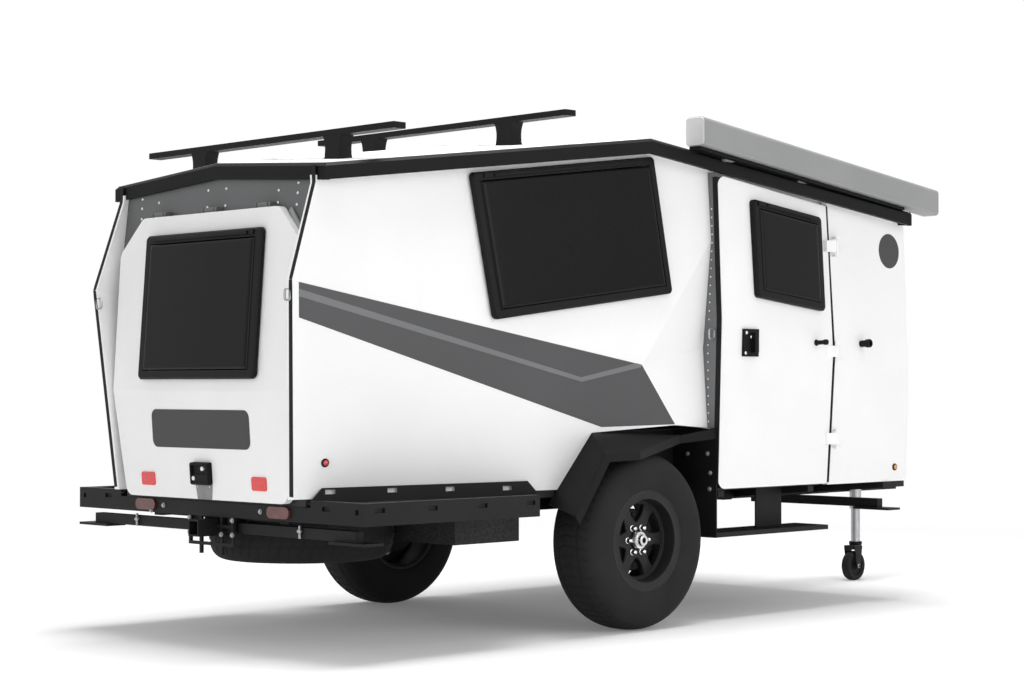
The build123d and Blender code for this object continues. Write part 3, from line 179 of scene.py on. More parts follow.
def grained(name, dark, light, patch, grain, depth, **shader):
    """Makes a finish whose tone drifts from dark to light over patches of that size in metres, with a
    bump of that grain size and depth in metres: two noises on Object coordinates."""
    made, tree, principled = new_material(name, **shader)
    place = add_node(tree, "ShaderNodeTexCoord").outputs["Object"]
    slow = add_node(tree, "ShaderNodeTexNoise", {"Vector": place, "Scale": 1 / patch, "Detail": 3.0})
    fine = add_node(tree, "ShaderNodeTexNoise", {"Vector": place, "Scale": 1 / grain, "Detail": 2.0})
    both = add_node(tree, "ShaderNodeMix", {"Factor": 0.35, "A": slow.outputs[0], "B": fine.outputs[0]})
    tone = add_node(tree, "ShaderNodeValToRGB", {"Fac": both.outputs[0]})
    tone.color_ramp.elements[0].position = 0.35
    tone.color_ramp.elements[0].color = linear(dark)
    tone.color_ramp.elements[1].position = 0.65
    tone.color_ramp.elements[1].color = linear(light)
    bump = add_node(tree, "ShaderNodeBump", {"Strength": 0.6, "Distance": depth, "Height": fine.outputs[0]})
    tree.links.new(tone.outputs[0], principled.inputs["Base Color"])
    tree.links.new(bump.outputs[0], principled.inputs["Normal"])
    return made


def dress(material, *names):
    """Gives CAD nodes their finish."""
    for name in names:
        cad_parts[name].data.materials.clear()
        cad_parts[name].data.materials.append(material)


def painted_where(made, mask, code):
    """Paints a finish another colour where a mask is 1."""
    tree = made.node_tree
    shader = next(n for n in tree.nodes if n.type == "BSDF_PRINCIPLED")
    tone = shader.inputs["Base Color"].links[0].from_socket
    mixed = add_node(tree, "ShaderNodeMix", {0: mask(tree), 6: tone, 7: linear(code)}, data_type="RGBA")
    tree.links.new(mixed.outputs[2], shader.inputs["Base Color"])


def side_of(tree, output, axis, kind, edge):
    """Gives 1 where an axis of a texture coordinate, such as Object, is above or below an edge value."""
    place = add_node(tree, "ShaderNodeTexCoord").outputs[output]
    split = add_node(tree, "ShaderNodeSeparateXYZ", {0: place})
    return add_node(tree, "ShaderNodeMath", {0: split.outputs[axis], 1: edge}, operation=kind).outputs[0]


gelcoat = grained("white_composite_skin", "#f2f2f2", "#f9f9f9", 0.6, 0.004, 0.0003, Roughness=0.55)
dress(gelcoat, "wall_rear_right", "wall_rear_left", "wall_front_right", "wall_front_left", "front_wall",
      "door_hinges")
roof_skin = grained("white_rubber_roof", "#e6e6e6", "#f2f2f2", 0.4, 0.006, 0.0004, Roughness=0.7)
dress(roof_skin, "roof")


# Black trim: fascia, arch flares and roof bars are folded or extruded aluminium under a fine black
# powder coat, which keeps a slight pebble and a soft sheen.
trim_coat = grained("black_powder_coated_trim", "#0e0e0f", "#141415", 0.3, 0.0012, 0.0002, Roughness=0.5,
                    Specular_IOR_Level=0.12)
dress(trim_coat, "roof_fascia", "arch_flares", "roof_bars", "door_lock")
steel_coat = grained("black_powder_coated_steel", "#111112", "#19191a", 0.25, 0.0016, 0.0003, Roughness=0.55,
                     Specular_IOR_Level=0.2)
dress(steel_coat, "chassis", "leg_mounts", "coupler", "caster_fork", "suspension_arms", "step", "cargo_rack",
      "wheel_wells", "stabiliser_rear_right", "stabiliser_rear_left", "stabiliser_front_right",
      "stabiliser_front_left")


# Grey panels: the return strips and the gable panel above the hatch are bare satin aluminium sheet
# under clear coat, and the awning cassette is a grey painted extrusion.
sheet_metal = grained("satin_aluminium_sheet", "#696a6b", "#737475", 0.5, 0.002, 0.0001, Roughness=0.5,
                      Metallic=0.35)
dress(sheet_metal, "return_strips")
awning_paint = grained("grey_painted_extrusion", "#8b8c8c", "#949495", 0.5, 0.002, 0.0001, Roughness=0.45)
dress(awning_paint, "awning")


# Windows: smoked acrylic panes in satin black moulded frames, at both sides, in the door and in the
# hatch.
frame_plastic = grained("black_moulded_frame", "#101011", "#161617", 0.2, 0.0008, 0.0001, Roughness=0.42,
                        Specular_IOR_Level=0.13)
dress(frame_plastic, "hatch_window_frame", "side_window_frames", "door_window_frame")
acrylic = grained("smoked_acrylic", "#0c0c0d", "#101011", 0.8, 0.03, 0.0001, Roughness=0.22, IOR=1.49,
                  Specular_IOR_Level=0.13)
dress(acrylic, "hatch_window_pane", "side_window_panes", "door_window_pane")


# Underside and fittings: zinc-plated jack tubes, a rotomoulded tank with a speckled skin, moulded
# red lenses and a plywood floor.
zinc = grained("zinc_plated_steel", "#a2a3a5", "#b6b7b9", 0.08, 0.003, 0.0001, Roughness=0.38, Metallic=0.8)
dress(zinc, "jack_tube", "jack_leg")
tank_skin = grained("speckled_rotomoulded_plastic", "#141414", "#3c3c3c", 0.006, 0.004, 0.0008, Roughness=0.7,
                    Specular_IOR_Level=0.25)
dress(tank_skin, "water_tank")
red_lens = grained("red_moulded_lens", "#4a1d1d", "#6a3030", 0.05, 0.004, 0.0005, Roughness=0.2,
                   Coat_Weight=0.5)
dress(red_lens, "tail_lamps")
plywood = grained("sealed_plywood", "#a98f66", "#c2a87c", 0.15, 0.01, 0.0002, Roughness=0.6)
painted_where(plywood, lambda tree: side_of(tree, "Normal", 2, "LESS_THAN", 0.5), "#141415")
dress(plywood, "floor")


# Road wheels: a moulded rubber tyre with a shallow tread on a black six-spoke wheel, and the same again
# for the spare that lies flat under the tail.
def grid_faces(rows, columns, loop_rows=False, loop_columns=False):
    """Gives the quads of a grid of rows by columns points, closed round either way if asked."""
    r = np.arange(rows if loop_rows else rows - 1)[:, None]
    c = np.arange(columns if loop_columns else columns - 1)[None, :]
    right, down = (c + 1) % columns, (r + 1) % rows
    quads = np.stack([r * columns + c, r * columns + right, down * columns + right, down * columns + c], -1)
    return quads.reshape(-1, 4)


def add_piece(name, points, faces, material, body, smooth=False):
    """Makes a mesh of an array of points in trailer coordinates, gives it its finish and its body."""
    mesh = bpy.data.meshes.new(name)
    mesh.from_pydata((np.asarray(points, float) + ground).tolist(), [], [list(map(int, f)) for f in faces])
    mesh.polygons.foreach_set("use_smooth", [smooth] * len(mesh.polygons))
    mesh.materials.append(material)
    piece = bpy.data.objects.new(name, mesh)
    bpy.context.scene.collection.objects.link(piece)
    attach(piece, body)
    return piece


rubber = grained("moulded_rubber", "#1b1b1c", "#222223", 0.12, 0.0015, 0.0002, Roughness=0.75,
                 Specular_IOR_Level=0.2)
dress(rubber, "caster_wheel")
crown, tread_share = 2.7, 0.6
bead_x, bead_r = 0.094, 0.200
section_steps, turn_steps = 84, 540
tread_half, groove_depth, groove_w = 0.088, 0.005, 0.007
weave_w, channel_centres = 0.003, (-0.046, 0.0, 0.046)
pitches, slant, cut_half, cut_share, tread_foot_r = 54, 6, 0.09, 0.7, 0.34


def tyre_section(u):
    """Half-width and radius along a tyre's outside, u from -1 to 1, bead to bead: a superellipse over the
    tread and shoulders for |u| under tread_share, and a quarter cosine down each sidewall beyond it."""
    mid_r, half_h = (bead_r + tyre_r) / 2, (tyre_r - bead_r) / 2
    a = np.clip(u / tread_share, -1, 1) * pi / 2
    x = tyre_half * np.sign(np.sin(a)) * np.abs(np.sin(a)) ** (2 / crown)
    r = mid_r + half_h * np.abs(np.cos(a)) ** (2 / crown)
    v = np.clip((np.abs(u) - tread_share) / (1 - tread_share), 0, 1) * pi / 2
    x = np.where(v > 0, np.sign(u) * (bead_x + (tyre_half - bead_x) * np.cos(v)), x)
    r = np.where(v > 0, mid_r - (mid_r - bead_r) * np.sin(v), r)
    return x, r


def tyre_points():
    """Points of a tyre round X about the origin: its section turned, less the tread's grooves, which are
    three zigzag channels round the tyre and fine cuts across the blocks between them."""
    u = np.linspace(-1, 1, section_steps)[None, :]
    turn = np.linspace(0, 2 * pi, turn_steps, endpoint=False)[:, None]
    x, r = tyre_section(u)
    block = turn * pitches / (2 * pi)
    weave = weave_w * np.abs(block % 1 * 2 - 1)
    channel = np.zeros((turn_steps, section_steps))
    for centre in channel_centres:
        channel = np.maximum(channel, np.abs(x - centre - weave) < groove_w / 2)
    across = (np.abs((block + np.abs(x) * slant) % 1 - 0.5) < cut_half) & (np.abs(x) < tread_half)
    r = r - groove_depth * np.maximum(channel, cut_share * across) * (r > tread_foot_r)
    x = x + 0 * turn
    return np.stack([x, r * np.sin(turn), r * np.cos(turn)], -1).reshape(-1, 3)


def on_axle(points, side):
    """Carries points made round X about the origin to the road wheel on that side, face outwards."""
    return points * (side, side, 1) + (side * wheel_x, 0, tyre_r)


spare_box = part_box("spare_tyre")
spare_centre = np.array((spare_box[0] + spare_box[1]) / 2) - ground


def under_tail(points):
    """Carries points made round X to the spare wheel, which lies flat with its face down."""
    return points[:, (2, 1, 0)] * (1, 1, -1) + spare_centre


wheels = (("right", "wheel_right", lambda p: on_axle(p, 1)), ("left", "wheel_left", lambda p: on_axle(p, -1)),
          ("spare", "trailer", under_tail))
tyre_quads = grid_faces(turn_steps, section_steps, loop_rows=True, loop_columns=True)
for end, body, carry in wheels:
    tyre = add_piece(f"rubber_tyre_{end}", carry(tyre_points()), tyre_quads, rubber, body, smooth=True)
    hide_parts("spare_tyre" if end == "spare" else f"tyre_{end}")


def turned(rows, steps=24, closed=False, ripple=0.0, ripples=1):
    """A turned piece's points and faces about its third axis: a ring at each row of (radius, height), wavy by
    a share of its radius if asked. Its ends are capped, or its last row joins its first."""
    radius, height = np.array(rows, float).T[:, :, None]
    turn = np.linspace(0, 2 * pi, steps, endpoint=False)
    radius = radius * (1 + ripple * np.cos(ripples * turn))
    points = np.stack([radius * np.cos(turn), radius * np.sin(turn), height + 0 * turn], -1).reshape(-1, 3)
    faces = list(grid_faces(len(rows), steps, loop_rows=closed, loop_columns=True))
    if not closed:
        faces += [np.arange(steps)[::-1], np.arange(steps) + (len(rows) - 1) * steps]
    return points, faces


def joined(*shapes):
    """Puts shapes of points and faces together in one."""
    points, faces, start = [], [], 0
    for more_points, more_faces in shapes:
        points.append(more_points)
        faces += [np.asarray(face) + start for face in more_faces]
        start += len(more_points)
    return np.concatenate(points), faces


def moved_to(shape, place):
    """A shape moved by a vector."""
    return shape[0] + place, shape[1]


def about_wheel(shape):
    """A shape made about the third axis, turned so that this axis points along the wheel's axle, X."""
    return shape[0][:, (2, 0, 1)], shape[1]


# The wheel: a rolled barrel with a lip, six flat spokes that widen into its ring and into the disc that
# the lugs clamp, cast and painted satin black.
barrel = [(0.1990, -0.1040), (0.2060, -0.1040), (0.2070, -0.1030), (0.2070, -0.0990), (0.1996, -0.0983),
          (0.1996, 0.0983), (0.2065, 0.0983), (0.2070, 0.0990), (0.2070, 0.1030), (0.2060, 0.1040),
          (0.2035, 0.1040), (0.1990, 0.1018), (0.1880, 0.1012), (0.1770, 0.1020), (0.1725, 0.1036),
          (0.1705, 0.1036), (0.1690, 0.1020), (0.1683, 0.0980), (0.1650, 0.0560), (0.1640, 0.0500),
          (0.1620, 0.0470), (0.1590, 0.0460), (0.1530, 0.0460), (0.1505, 0.0450), (0.1500, 0.0430),
          (0.1500, 0.0260), (0.1515, 0.0240), (0.1800, 0.0240), (0.1845, 0.0200), (0.1885, -0.0800),
          (0.1900, -0.1000)]
disc = [(0.0740, 0.0240), (0.0740, 0.0430), (0.0725, 0.0455), (0.0690, 0.0460), (0.0400, 0.0460),
        (0.0378, 0.0440), (0.0375, 0.0240)]
spoke_half, spoke_flare, spoke_ends = 0.0245, 0.010, (0.066, 0.156)
spoke_section = [(1.0, 0.0240), (1.0, 0.0415), (0.86, 0.0452), (0.6, 0.0458), (-0.6, 0.0458), (-0.86, 0.0452),
                 (-1.0, 0.0415), (-1.0, 0.0240)]


def spoke(turn):
    """A spoke at that turn: its section carried out from the disc, its half-width a parabola of the radius,
    narrowest midway."""
    r = np.linspace(*spoke_ends, 14)[:, None]
    share = (2 * r - sum(spoke_ends)) / (spoke_ends[1] - spoke_ends[0])
    across, height = np.array(spoke_section).T[:, None]
    width = across * (spoke_half + spoke_flare * share ** 2)
    x, y = r * cos(turn) - width * sin(turn), r * sin(turn) + width * cos(turn)
    points = np.stack([x, y, height + 0 * r], -1)
    n = len(spoke_section)
    faces = list(grid_faces(len(r), n, loop_columns=True))
    return points.reshape(-1, 3), faces + [np.arange(n)[::-1], np.arange(n) + (len(r) - 1) * n]


spokes = [spoke(k * pi / 3) for k in range(6)]
alloy = joined(turned(barrel, 144, closed=True), turned(disc, 96, closed=True), *spokes)

# The hub: a cast drum with its bolts behind the spokes, six domed lugs, and a bright cap with a fluted
# ring and a dark plug in its bore.
drum = [(0.0225, -0.0600), (0.1270, -0.0600), (0.1270, 0.0160), (0.1220, 0.0225), (0.0360, 0.0225),
        (0.0225, 0.0200)]
fluted = [(0.0350, 0.0240), (0.0350, 0.0470), (0.0362, 0.0480), (0.0362, 0.0640), (0.0345, 0.0680)]
cap = [(0.0300, 0.0640), (0.0300, 0.0688), (0.0262, 0.0692), (0.0250, 0.0705), (0.0241, 0.0820),
       (0.0226, 0.0862), (0.0196, 0.0880), (0.0128, 0.0880), (0.0112, 0.0862), (0.0106, 0.0720)]
plug = [(0.0104, 0.0700), (0.0104, 0.0760), (0.0070, 0.0772)]
lug = [(0.0128, 0.0455), (0.0128, 0.0475), (0.0100, 0.0485), (0.0100, 0.0610), (0.0092, 0.0645),
       (0.0070, 0.0678), (0.0035, 0.0696)]
bolt = [(0.0090, 0.0220), (0.0090, 0.0290), (0.0060, 0.0300)]
lug_circle, bolt_circle = 0.056, 0.104


def ring_of(shape, r, start):
    """Six of a shape on a circle of radius r, the first at the angle start."""
    turns = [start + k * pi / 3 for k in range(6)]
    return [moved_to(shape, (r * cos(turn), r * sin(turn), 0)) for turn in turns]


def on_wheel(shape, carry):
    """A shape made about the third axis, set on the wheel that a function carries points to."""
    return carry(about_wheel(shape)[0]), shape[1]


lugs = ring_of(turned(lug, 18), lug_circle, 0.0)
bolts = ring_of(turned(bolt, 6), bolt_circle, pi / 6)
bright = joined(turned(fluted, 240, ripple=0.02, ripples=30), turned(cap, 72), *lugs)
dark_parts = joined(turned(drum, 96, closed=True), turned(plug, 24), *bolts)
satin_black = grained("satin_black_cast_alloy", "#171718", "#1f1f20", 0.06, 0.0012, 0.0001, Roughness=0.5,
                      Specular_IOR_Level=0.25)
chrome = grained("polished_chrome", "#c9c9cb", "#dededf", 0.05, 0.002, 0.00005, Roughness=0.16, Metallic=1.0)
cast_iron = grained("painted_cast_iron", "#101011", "#181818", 0.04, 0.002, 0.0004, Roughness=0.7,
                    Specular_IOR_Level=0.2)
for end, body, carry in wheels:
    rim = add_piece(f"alloy_wheel_{end}", *on_wheel(alloy, carry), satin_black, body)
    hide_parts("spare_rim" if end == "spare" else f"rim_{end}")
    if end != "spare":
        hub = add_piece(f"hub_cap_and_lugs_{end}", *on_wheel(bright, carry), chrome, body)
        back = add_piece(f"brake_drum_{end}", *on_wheel(dark_parts, carry), cast_iron, body)
        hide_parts(f"hub_{end}")
        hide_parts(f"hub_{end}")


# Side stripes: cut grey vinyl film pressed on each side of the tail, below the fold of the wall, each with a
# paler grey band inside it. The rays that look for a skin start clear of the side or of the tail, at these
# distances from the middle.
off_side, off_tail = 1.5, -2.0


def skin_of(*nodes):
    """Gives a search tree over the faces of CAD nodes, to find where a ray meets their surface."""
    points, faces = [], []
    for name in nodes:
        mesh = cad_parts[name].data
        faces += [[len(points) + i for i in p.vertices] for p in mesh.polygons]
        points += [v.co.copy() for v in mesh.vertices]
    return BVHTree.FromPolygons(points, faces)


def on_wall(skin, y, z, side, lift):
    """Finds the point of a side wall at (y, z) in trailer coordinates, lifted off it along X."""
    start = Vector(ground) + Vector((side * off_side, y, z))
    spot = skin.ray_cast(start, Vector((-side, 0, 0)))[0]
    return (spot.x - ground[0] + side * lift, y, z)


def film(name, outline, skin, side, lift, thick, material, body):
    """Makes a flat film on a side wall from its outline of (y, z) corners: two faces and an edge."""
    outer = [on_wall(skin, y, z, side, lift + thick) for y, z in outline]
    inner = [on_wall(skin, y, z, side, lift) for y, z in outline]
    n = len(outline)
    rim = [(i, (i + 1) % n, n + (i + 1) % n, n + i) for i in range(n)]
    turn = 1 if side > 0 else -1
    faces = [tuple(range(n))[::turn], tuple(range(n, 2 * n))[::-turn]] + [f[::-turn] for f in rim]
    return add_piece(name, outer + inner, faces, material, body)


vinyl_film = grained("grey_vinyl_film", "#414143", "#464648", 0.4, 0.003, 0.0001, Roughness=0.4)
fold_band_grey = grained("paler_grey_band_on_stripe", "#6a6b6d", "#717274", 0.4, 0.003, 0.0001, Roughness=0.4)
stripe = [(-1.634, 1.242), (-0.181, 0.829), (0.216, 0.836), (0.011, 1.082), (-1.644, 1.370)]
# A paler grey band inside each stripe runs from high at the tail down to a low point near the front, then
# rises a little.
band = [(-1.640, 1.318), (-0.300, 1.012), (0.008, 1.072), (0.011, 1.082), (-0.020, 1.088), (-0.305, 1.030),
        (-1.641, 1.345)]
for end, side in (("right", 1), ("left", -1)):
    skin = skin_of(f"wall_rear_{end}")
    film(f"stripe_{end}", stripe, skin, side, 0.0001, 0.0006, vinyl_film, "trailer")
    film(f"stripe_band_{end}", band, skin, side, 0.0008, 0.0003, fold_band_grey, "trailer")


# Rear gable: a satin aluminium panel fixed with bright dome rivets. Below it a black rubber seal runs
# down beside the hatch, and a folded drip rail stands beside each of the hatch's cut corners.
def rounded(w, h, corner, inset=0.0, turns=7):
    """Corners, anticlockwise, of a w by h rectangle with rounded corners, all of it moved in by inset."""
    turn = (np.arange(4)[:, None] * pi / 2 + np.linspace(0, pi / 2, turns)).ravel()
    quadrant = np.arange(4).repeat(turns) * pi / 2 + pi / 4
    r = np.maximum(corner - inset, 0.0001)
    x = np.sign(np.cos(quadrant)) * (w / 2 - inset - r) + r * np.cos(turn)
    y = np.sign(np.sin(quadrant)) * (h / 2 - inset - r) + r * np.sin(turn)
    return np.stack([x + 0 * y, y], -1)


def slab(w, h, corner, rows, taper=0.0):
    """A plate's points and faces: a rounded rectangle at each row of (inset, height), its two ends closed,
    and narrower towards its foot by the share taper."""
    rings = rounded(w, h, corner, np.array(rows)[:, :1])
    n = rings.shape[1]
    heights = np.broadcast_to(np.array(rows)[:, 1:], rings.shape[:2])
    narrow = 1 - taper * (0.5 - rings[..., 1] / h)
    points = np.stack([rings[..., 0] * narrow, rings[..., 1], heights], -1).reshape(-1, 3)
    faces = list(grid_faces(len(rows), n, loop_columns=True))
    return points, faces + [np.arange(n)[::-1], np.arange(n) + (len(rows) - 1) * n]


def swept(path, profile, side, closed=False):
    """A bar's points and faces: a profile's (a, b) corners, anticlockwise, carried along a path, with a along
    side and b square to side and to the path. Its ends are closed, or joined."""
    path, profile = np.asarray(path, float), np.asarray(profile, float)
    legs = np.diff(path, axis=0, append=path[:1])
    legs /= np.linalg.norm(legs, axis=1)[:, None]
    before, after = np.roll(legs, 1, 0), legs.copy()
    if not closed:
        before[0], after[-1] = legs[0], legs[-2]
    run = before + after
    run /= np.linalg.norm(run, axis=1)[:, None]
    side = np.asarray(side, float) - (run @ np.asarray(side, float))[:, None] * run
    side /= np.linalg.norm(side, axis=1)[:, None]
    out = np.cross(run, side)
    points = path[:, None] + profile[:, :1] * side[:, None] + profile[:, 1:] * out[:, None]
    n = len(profile)
    faces = list(grid_faces(len(path), n, loop_rows=closed, loop_columns=True))
    if not closed:
        faces += [np.arange(n)[::-1], np.arange(n) + (len(path) - 1) * n]
    return points.reshape(-1, 3), faces


def spot_on(skin, start, aim, lift=0.0):
    """Finds where a ray meets a skin, both in trailer coordinates. Gives that point, lifted off the skin, and
    three axes there: level along the skin, up along it, and out of it."""
    point, out, _, _ = skin.ray_cast(Vector(ground) + Vector(start), Vector(aim))
    out = np.array(out) * -np.sign(np.dot(out, aim))
    level = np.cross((0.0, 0.0, 1.0), out)
    level /= np.linalg.norm(level)
    return np.array(point) - ground + lift * out, np.stack([level, np.cross(out, level), out])


def on_spots(shape, spots):
    """A shape repeated at each spot, its three axes laid along the spot's."""
    return joined(*((place + shape[0] @ axes, shape[1]) for place, axes in spots))


gable_metal = grained("satin_aluminium_gable", "#5b5c5d", "#636465", 0.5, 0.002, 0.0001, Roughness=0.5,
                      Metallic=0.2)
panel_foot_z = 1.47
painted_where(gable_metal, lambda tree: side_of(tree, "Object", 2, "LESS_THAN", panel_foot_z), "#121213")
dress(gable_metal, "rear_frame")
rivet_steel = grained("bright_rivet_steel", "#d8d8d8", "#ececec", 0.02, 0.001, 0.00005, Roughness=0.3,
                      Metallic=0.4)
rivet = turned([(0.0060, -0.001), (0.0060, 0.0006), (0.0052, 0.0019), (0.0033, 0.0029), (0.0012, 0.0033)], 16)
small_rivet = (rivet[0] * 0.62, rivet[1])
ahead = (0.0, 1.0, 0.0)
gable_skin = skin_of("rear_frame")
gable_rivets = [(0.495, 1.745), (0.494, 1.707), (0.492, 1.664), (0.380, 1.724), (0.379, 1.678),
                (0.057, 1.752), (0.057, 1.686)]
spots = [spot_on(gable_skin, (side * x, off_tail, z), ahead) for x, z in gable_rivets for side in (-1, 1)]
add_piece("gable_rivets", *on_spots(rivet, spots), rivet_steel, "trailer", smooth=True)
rail_profile, rail_ends = rounded(0.020, 0.010, 0.003), ((0.466, 1.648), (0.582, 1.512))
rail_grey = grained("grey_painted_rail", "#8d8e8f", "#989999", 0.1, 0.002, 0.0001, Roughness=0.5)
for end, side in (("right", 1), ("left", -1)):
    rail = [spot_on(gable_skin, (side * x, off_tail, z), ahead, 0.006)[0] for x, z in rail_ends]
    add_piece(f"drip_rail_{end}", *swept(rail, rail_profile, (1, 0, 1)), rail_grey, "trailer")


# Tail edges: black moulded edging pressed over the rear edge of each side wall, from the roof to the
# sill, and a tie-down ring at its waist and another in front of the return strip.
edging_rubber = grained("black_edging_rubber", "#101011", "#161617", 0.2, 0.001, 0.0001, Roughness=0.6,
                        Specular_IOR_Level=0.2)
edging_half, edging_proud = 0.010, 0.0008
edging_profile = rounded(2 * edging_half, 0.007, 0.0007) - (0, 0.0035 - edging_proud)
waist_z, bend_z = 1.379, 1.737
edging_z = np.concatenate([np.linspace(bend_z, waist_z, 16), np.linspace(waist_z, 0.592, 32)[1:]])
edging_x = np.interp(edging_z, (0.590, waist_z, bend_z), (0.566, 0.634, 0.621)) - edging_half
head_in, head_rise = 0.004, 0.062
rear_limit = cad_box[0].y - ground[1] + edging_proud
ring_path = np.pad(rounded(0.034, 0.040, 0.009), ((0, 0), (0, 1)))
ring_steel = grained("zinc_plated_wire", "#9c9d9f", "#b4b5b7", 0.02, 0.001, 0.0001, Roughness=0.35,
                     Metallic=0.7)
dee = swept(ring_path, rounded(0.008, 0.008, 0.004, turns=4), (0, 0, 1), closed=True)
facing_tail = np.array([(1.0, 0, 0), (0, 0, 1), (0, -1, 0)])
facing_in = np.array([(0, -1.0, 0), (0, 0, 1), (-1, 0, 0)])
step_ring_z = 1.215
for end, side in (("right", 1), ("left", -1)):
    tail_skin = skin_of(f"wall_rear_{end}")
    starts = [(side * x, off_tail, z) for x, z in zip(edging_x, edging_z)]
    path = np.array([spot_on(tail_skin, start, ahead)[0] for start in starts])
    path[:, 1] = np.maximum(path[:, 1], rear_limit)
    path = np.vstack([path[:1] + (-side * head_in, 0, head_rise), path])
    add_piece(f"tail_edging_{end}", *swept(path, edging_profile, (1, 0, 0)), edging_rubber, "trailer")
    ring_spot = (np.array([side * 0.600, -1.666, 1.325]), facing_tail)
    ring_step = (np.array([side * 0.832, 0.430, step_ring_z]), facing_in)
    add_piece(f"tie_rings_{end}", *on_spots(dee, [ring_spot, ring_step]), ring_steel, "trailer", smooth=True)


# Hatch: the panel is the same white composite, its hinge eyes painted like the gable. On it are a blank
# dark plate, a black latch with a steel keeper strap, and two square red reflectors.
hatch_skin_paint = grained("white_composite_hatch", "#f0f0f0", "#f7f7f7", 0.6, 0.004, 0.0003, Roughness=0.55)
painted_where(hatch_skin_paint, lambda tree: side_of(tree, "Object", 2, "GREATER_THAN", 1.6625), "#5f6061")
dress(hatch_skin_paint, "hatch")
hatch_skin = skin_of("hatch")
plate_black = grained("dark_grey_plate", "#2c2c2d", "#323233", 0.3, 0.002, 0.0001, Roughness=0.45)
plate_spot = spot_on(hatch_skin, (0.0, off_tail, 0.831), ahead)
plate_shape = slab(0.618, 0.148, 0.030, [(0.0, -0.001), (0.0, 0.0012), (0.001, 0.0018)])
add_piece("blank_rear_plate", *on_spots(plate_shape, [plate_spot]), plate_black, "hatch")
reflector_red = grained("red_reflector", "#d63636", "#e84141", 0.01, 0.003, 0.0006, Roughness=0.25,
                        Coat_Weight=0.4)
reflector = slab(0.086, 0.052, 0.009, [(0.0, -0.001), (0.0, 0.0050), (0.0020, 0.0072)])
spots = [spot_on(hatch_skin, (side * 0.351, off_tail, 0.632), ahead) for side in (-1, 1)]
add_piece("rear_reflectors", *on_spots(reflector, spots), reflector_red, "hatch")
latch_x, latch_z = 0.006, 0.662
latch_spot = spot_on(hatch_skin, (latch_x, off_tail, latch_z), ahead)
latch_case = slab(0.114, 0.086, 0.008, [(0.0, -0.001), (0.0, 0.0200), (0.0030, 0.0240), (0.0100, 0.0240),
                                        (0.0120, 0.0150)])
paddle = slab(0.080, 0.034, 0.005, [(0.0, 0.010), (0.0, 0.0190), (0.0020, 0.0210)])
latch = joined(latch_case, moved_to(paddle, (0.004, -0.018, 0)))
add_piece("hatch_latch", *on_spots(latch, [latch_spot]), trim_coat, "hatch")
knobs = joined(*(moved_to(turned([(0.009, 0.010), (0.009, 0.0225), (0.0065, 0.0245)], 20), (x, y, 0))
                 for x, y in ((0.022, 0.020), (-0.036, -0.018))))
add_piece("latch_knobs", *on_spots(knobs, [latch_spot]), rivet_steel, "hatch", smooth=True)
strap_steel = grained("satin_strap_steel", "#7c7d7d", "#8a8b8b", 0.05, 0.002, 0.0001, Roughness=0.45,
                      Metallic=0.3)
strap_spot = spot_on(hatch_skin, (latch_x + 0.004, off_tail, 0.591), ahead)
strap = slab(0.104, 0.058, 0.004, [(0.0, -0.001), (0.0, 0.0030), (0.0006, 0.0036)], taper=0.16)
add_piece("latch_strap", *on_spots(strap, [strap_spot]), strap_steel, "hatch")
spots = [spot_on(hatch_skin, (latch_x + x, off_tail, 0.611), ahead, 0.0034) for x in (-0.036, 0.040)]
add_piece("strap_rivets", *on_spots(small_rivet, spots), rivet_steel, "hatch", smooth=True)


# Windows: each smoked pane is moulded as a shallow pan whose rolled rim stands proud of its frame, and
# the four panes share one function.
def rolled_pane(corners, out, rim, proud, steps=56):
    """A pane between four corners, anticlockwise from outside: a grid that is finest near its edges, where
    it rises as a quarter circle over the rim's width, closed behind by one face."""
    t = 0.5 - 0.5 * np.cos(np.linspace(0, pi, steps))
    u, v = t[None, :, None], t[:, None, None]
    a, b, c, d = np.array(corners)
    points = (1 - v) * ((1 - u) * a + u * b) + v * ((1 - u) * d + u * c)
    wide, high = np.linalg.norm(b - a), np.linalg.norm(d - a)
    edge = np.minimum(np.minimum(u, 1 - u) * wide, np.minimum(v, 1 - v) * high)
    rise = proud * np.sqrt(1 - (1 - np.clip(edge / rim, 0, 1)) ** 2)
    points = (points + rise * np.array(out)).reshape(-1, 3)
    grid = np.arange(steps * steps).reshape(steps, steps)
    border = np.concatenate([grid[0], grid[1:, -1], grid[-1, -2::-1], grid[-2:0:-1, 0]])
    return points, list(grid_faces(steps, steps)) + [border[::-1]]


def pane_corners(node, start_of, aim, places, lift):
    """Finds where rays from a pane's corner places meet the plane of its CAD node's face, lifted off it. The
    plane is found by a ray through the middle."""
    middle, axes = spot_on(skin_of(node), start_of(*np.mean(places, axis=0)), aim, lift)
    out, aim = axes[2], np.array(aim, float)
    starts = [np.array(start_of(*place)) for place in places]
    return [start + aim * ((middle - start) @ out / (aim @ out)) for start in starts], out


rim_w, pane_proud = 0.016, 0.010
side_hole = [(-0.738, 1.290), (0.144, 1.409), (0.086, 1.905), (-0.811, 1.785)]
door_hole = [(0.712, 1.408), (1.121, 1.366), (1.112, 1.713), (0.699, 1.759)]
hatch_hole = [(-0.332, 1.057), (0.332, 1.057), (0.332, 1.550), (-0.332, 1.550)]
for name, node, aim, start_of, places, body in (
        ("side_pane_right", "side_window_panes", (-1, 0, 0), lambda y, z: (off_side, y, z), side_hole,
         "trailer"),
        ("side_pane_left", "side_window_panes", (1, 0, 0), lambda y, z: (-off_side, y, z), side_hole,
         "trailer"),
        ("door_pane", "door_window_pane", (-1, 0, 0), lambda y, z: (off_side, y, z), door_hole, "door"),
        ("hatch_pane", "hatch_window_pane", (0, 1, 0), lambda x, z: (x, off_tail, z), hatch_hole, "hatch")):
    corners, out = pane_corners(node, start_of, aim, places, 0.001)
    if name == "side_pane_left":
        corners = corners[::-1]
    pane = add_piece(name, *rolled_pane(corners, out, rim_w, pane_proud), acrylic, body, smooth=True)
    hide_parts(node)


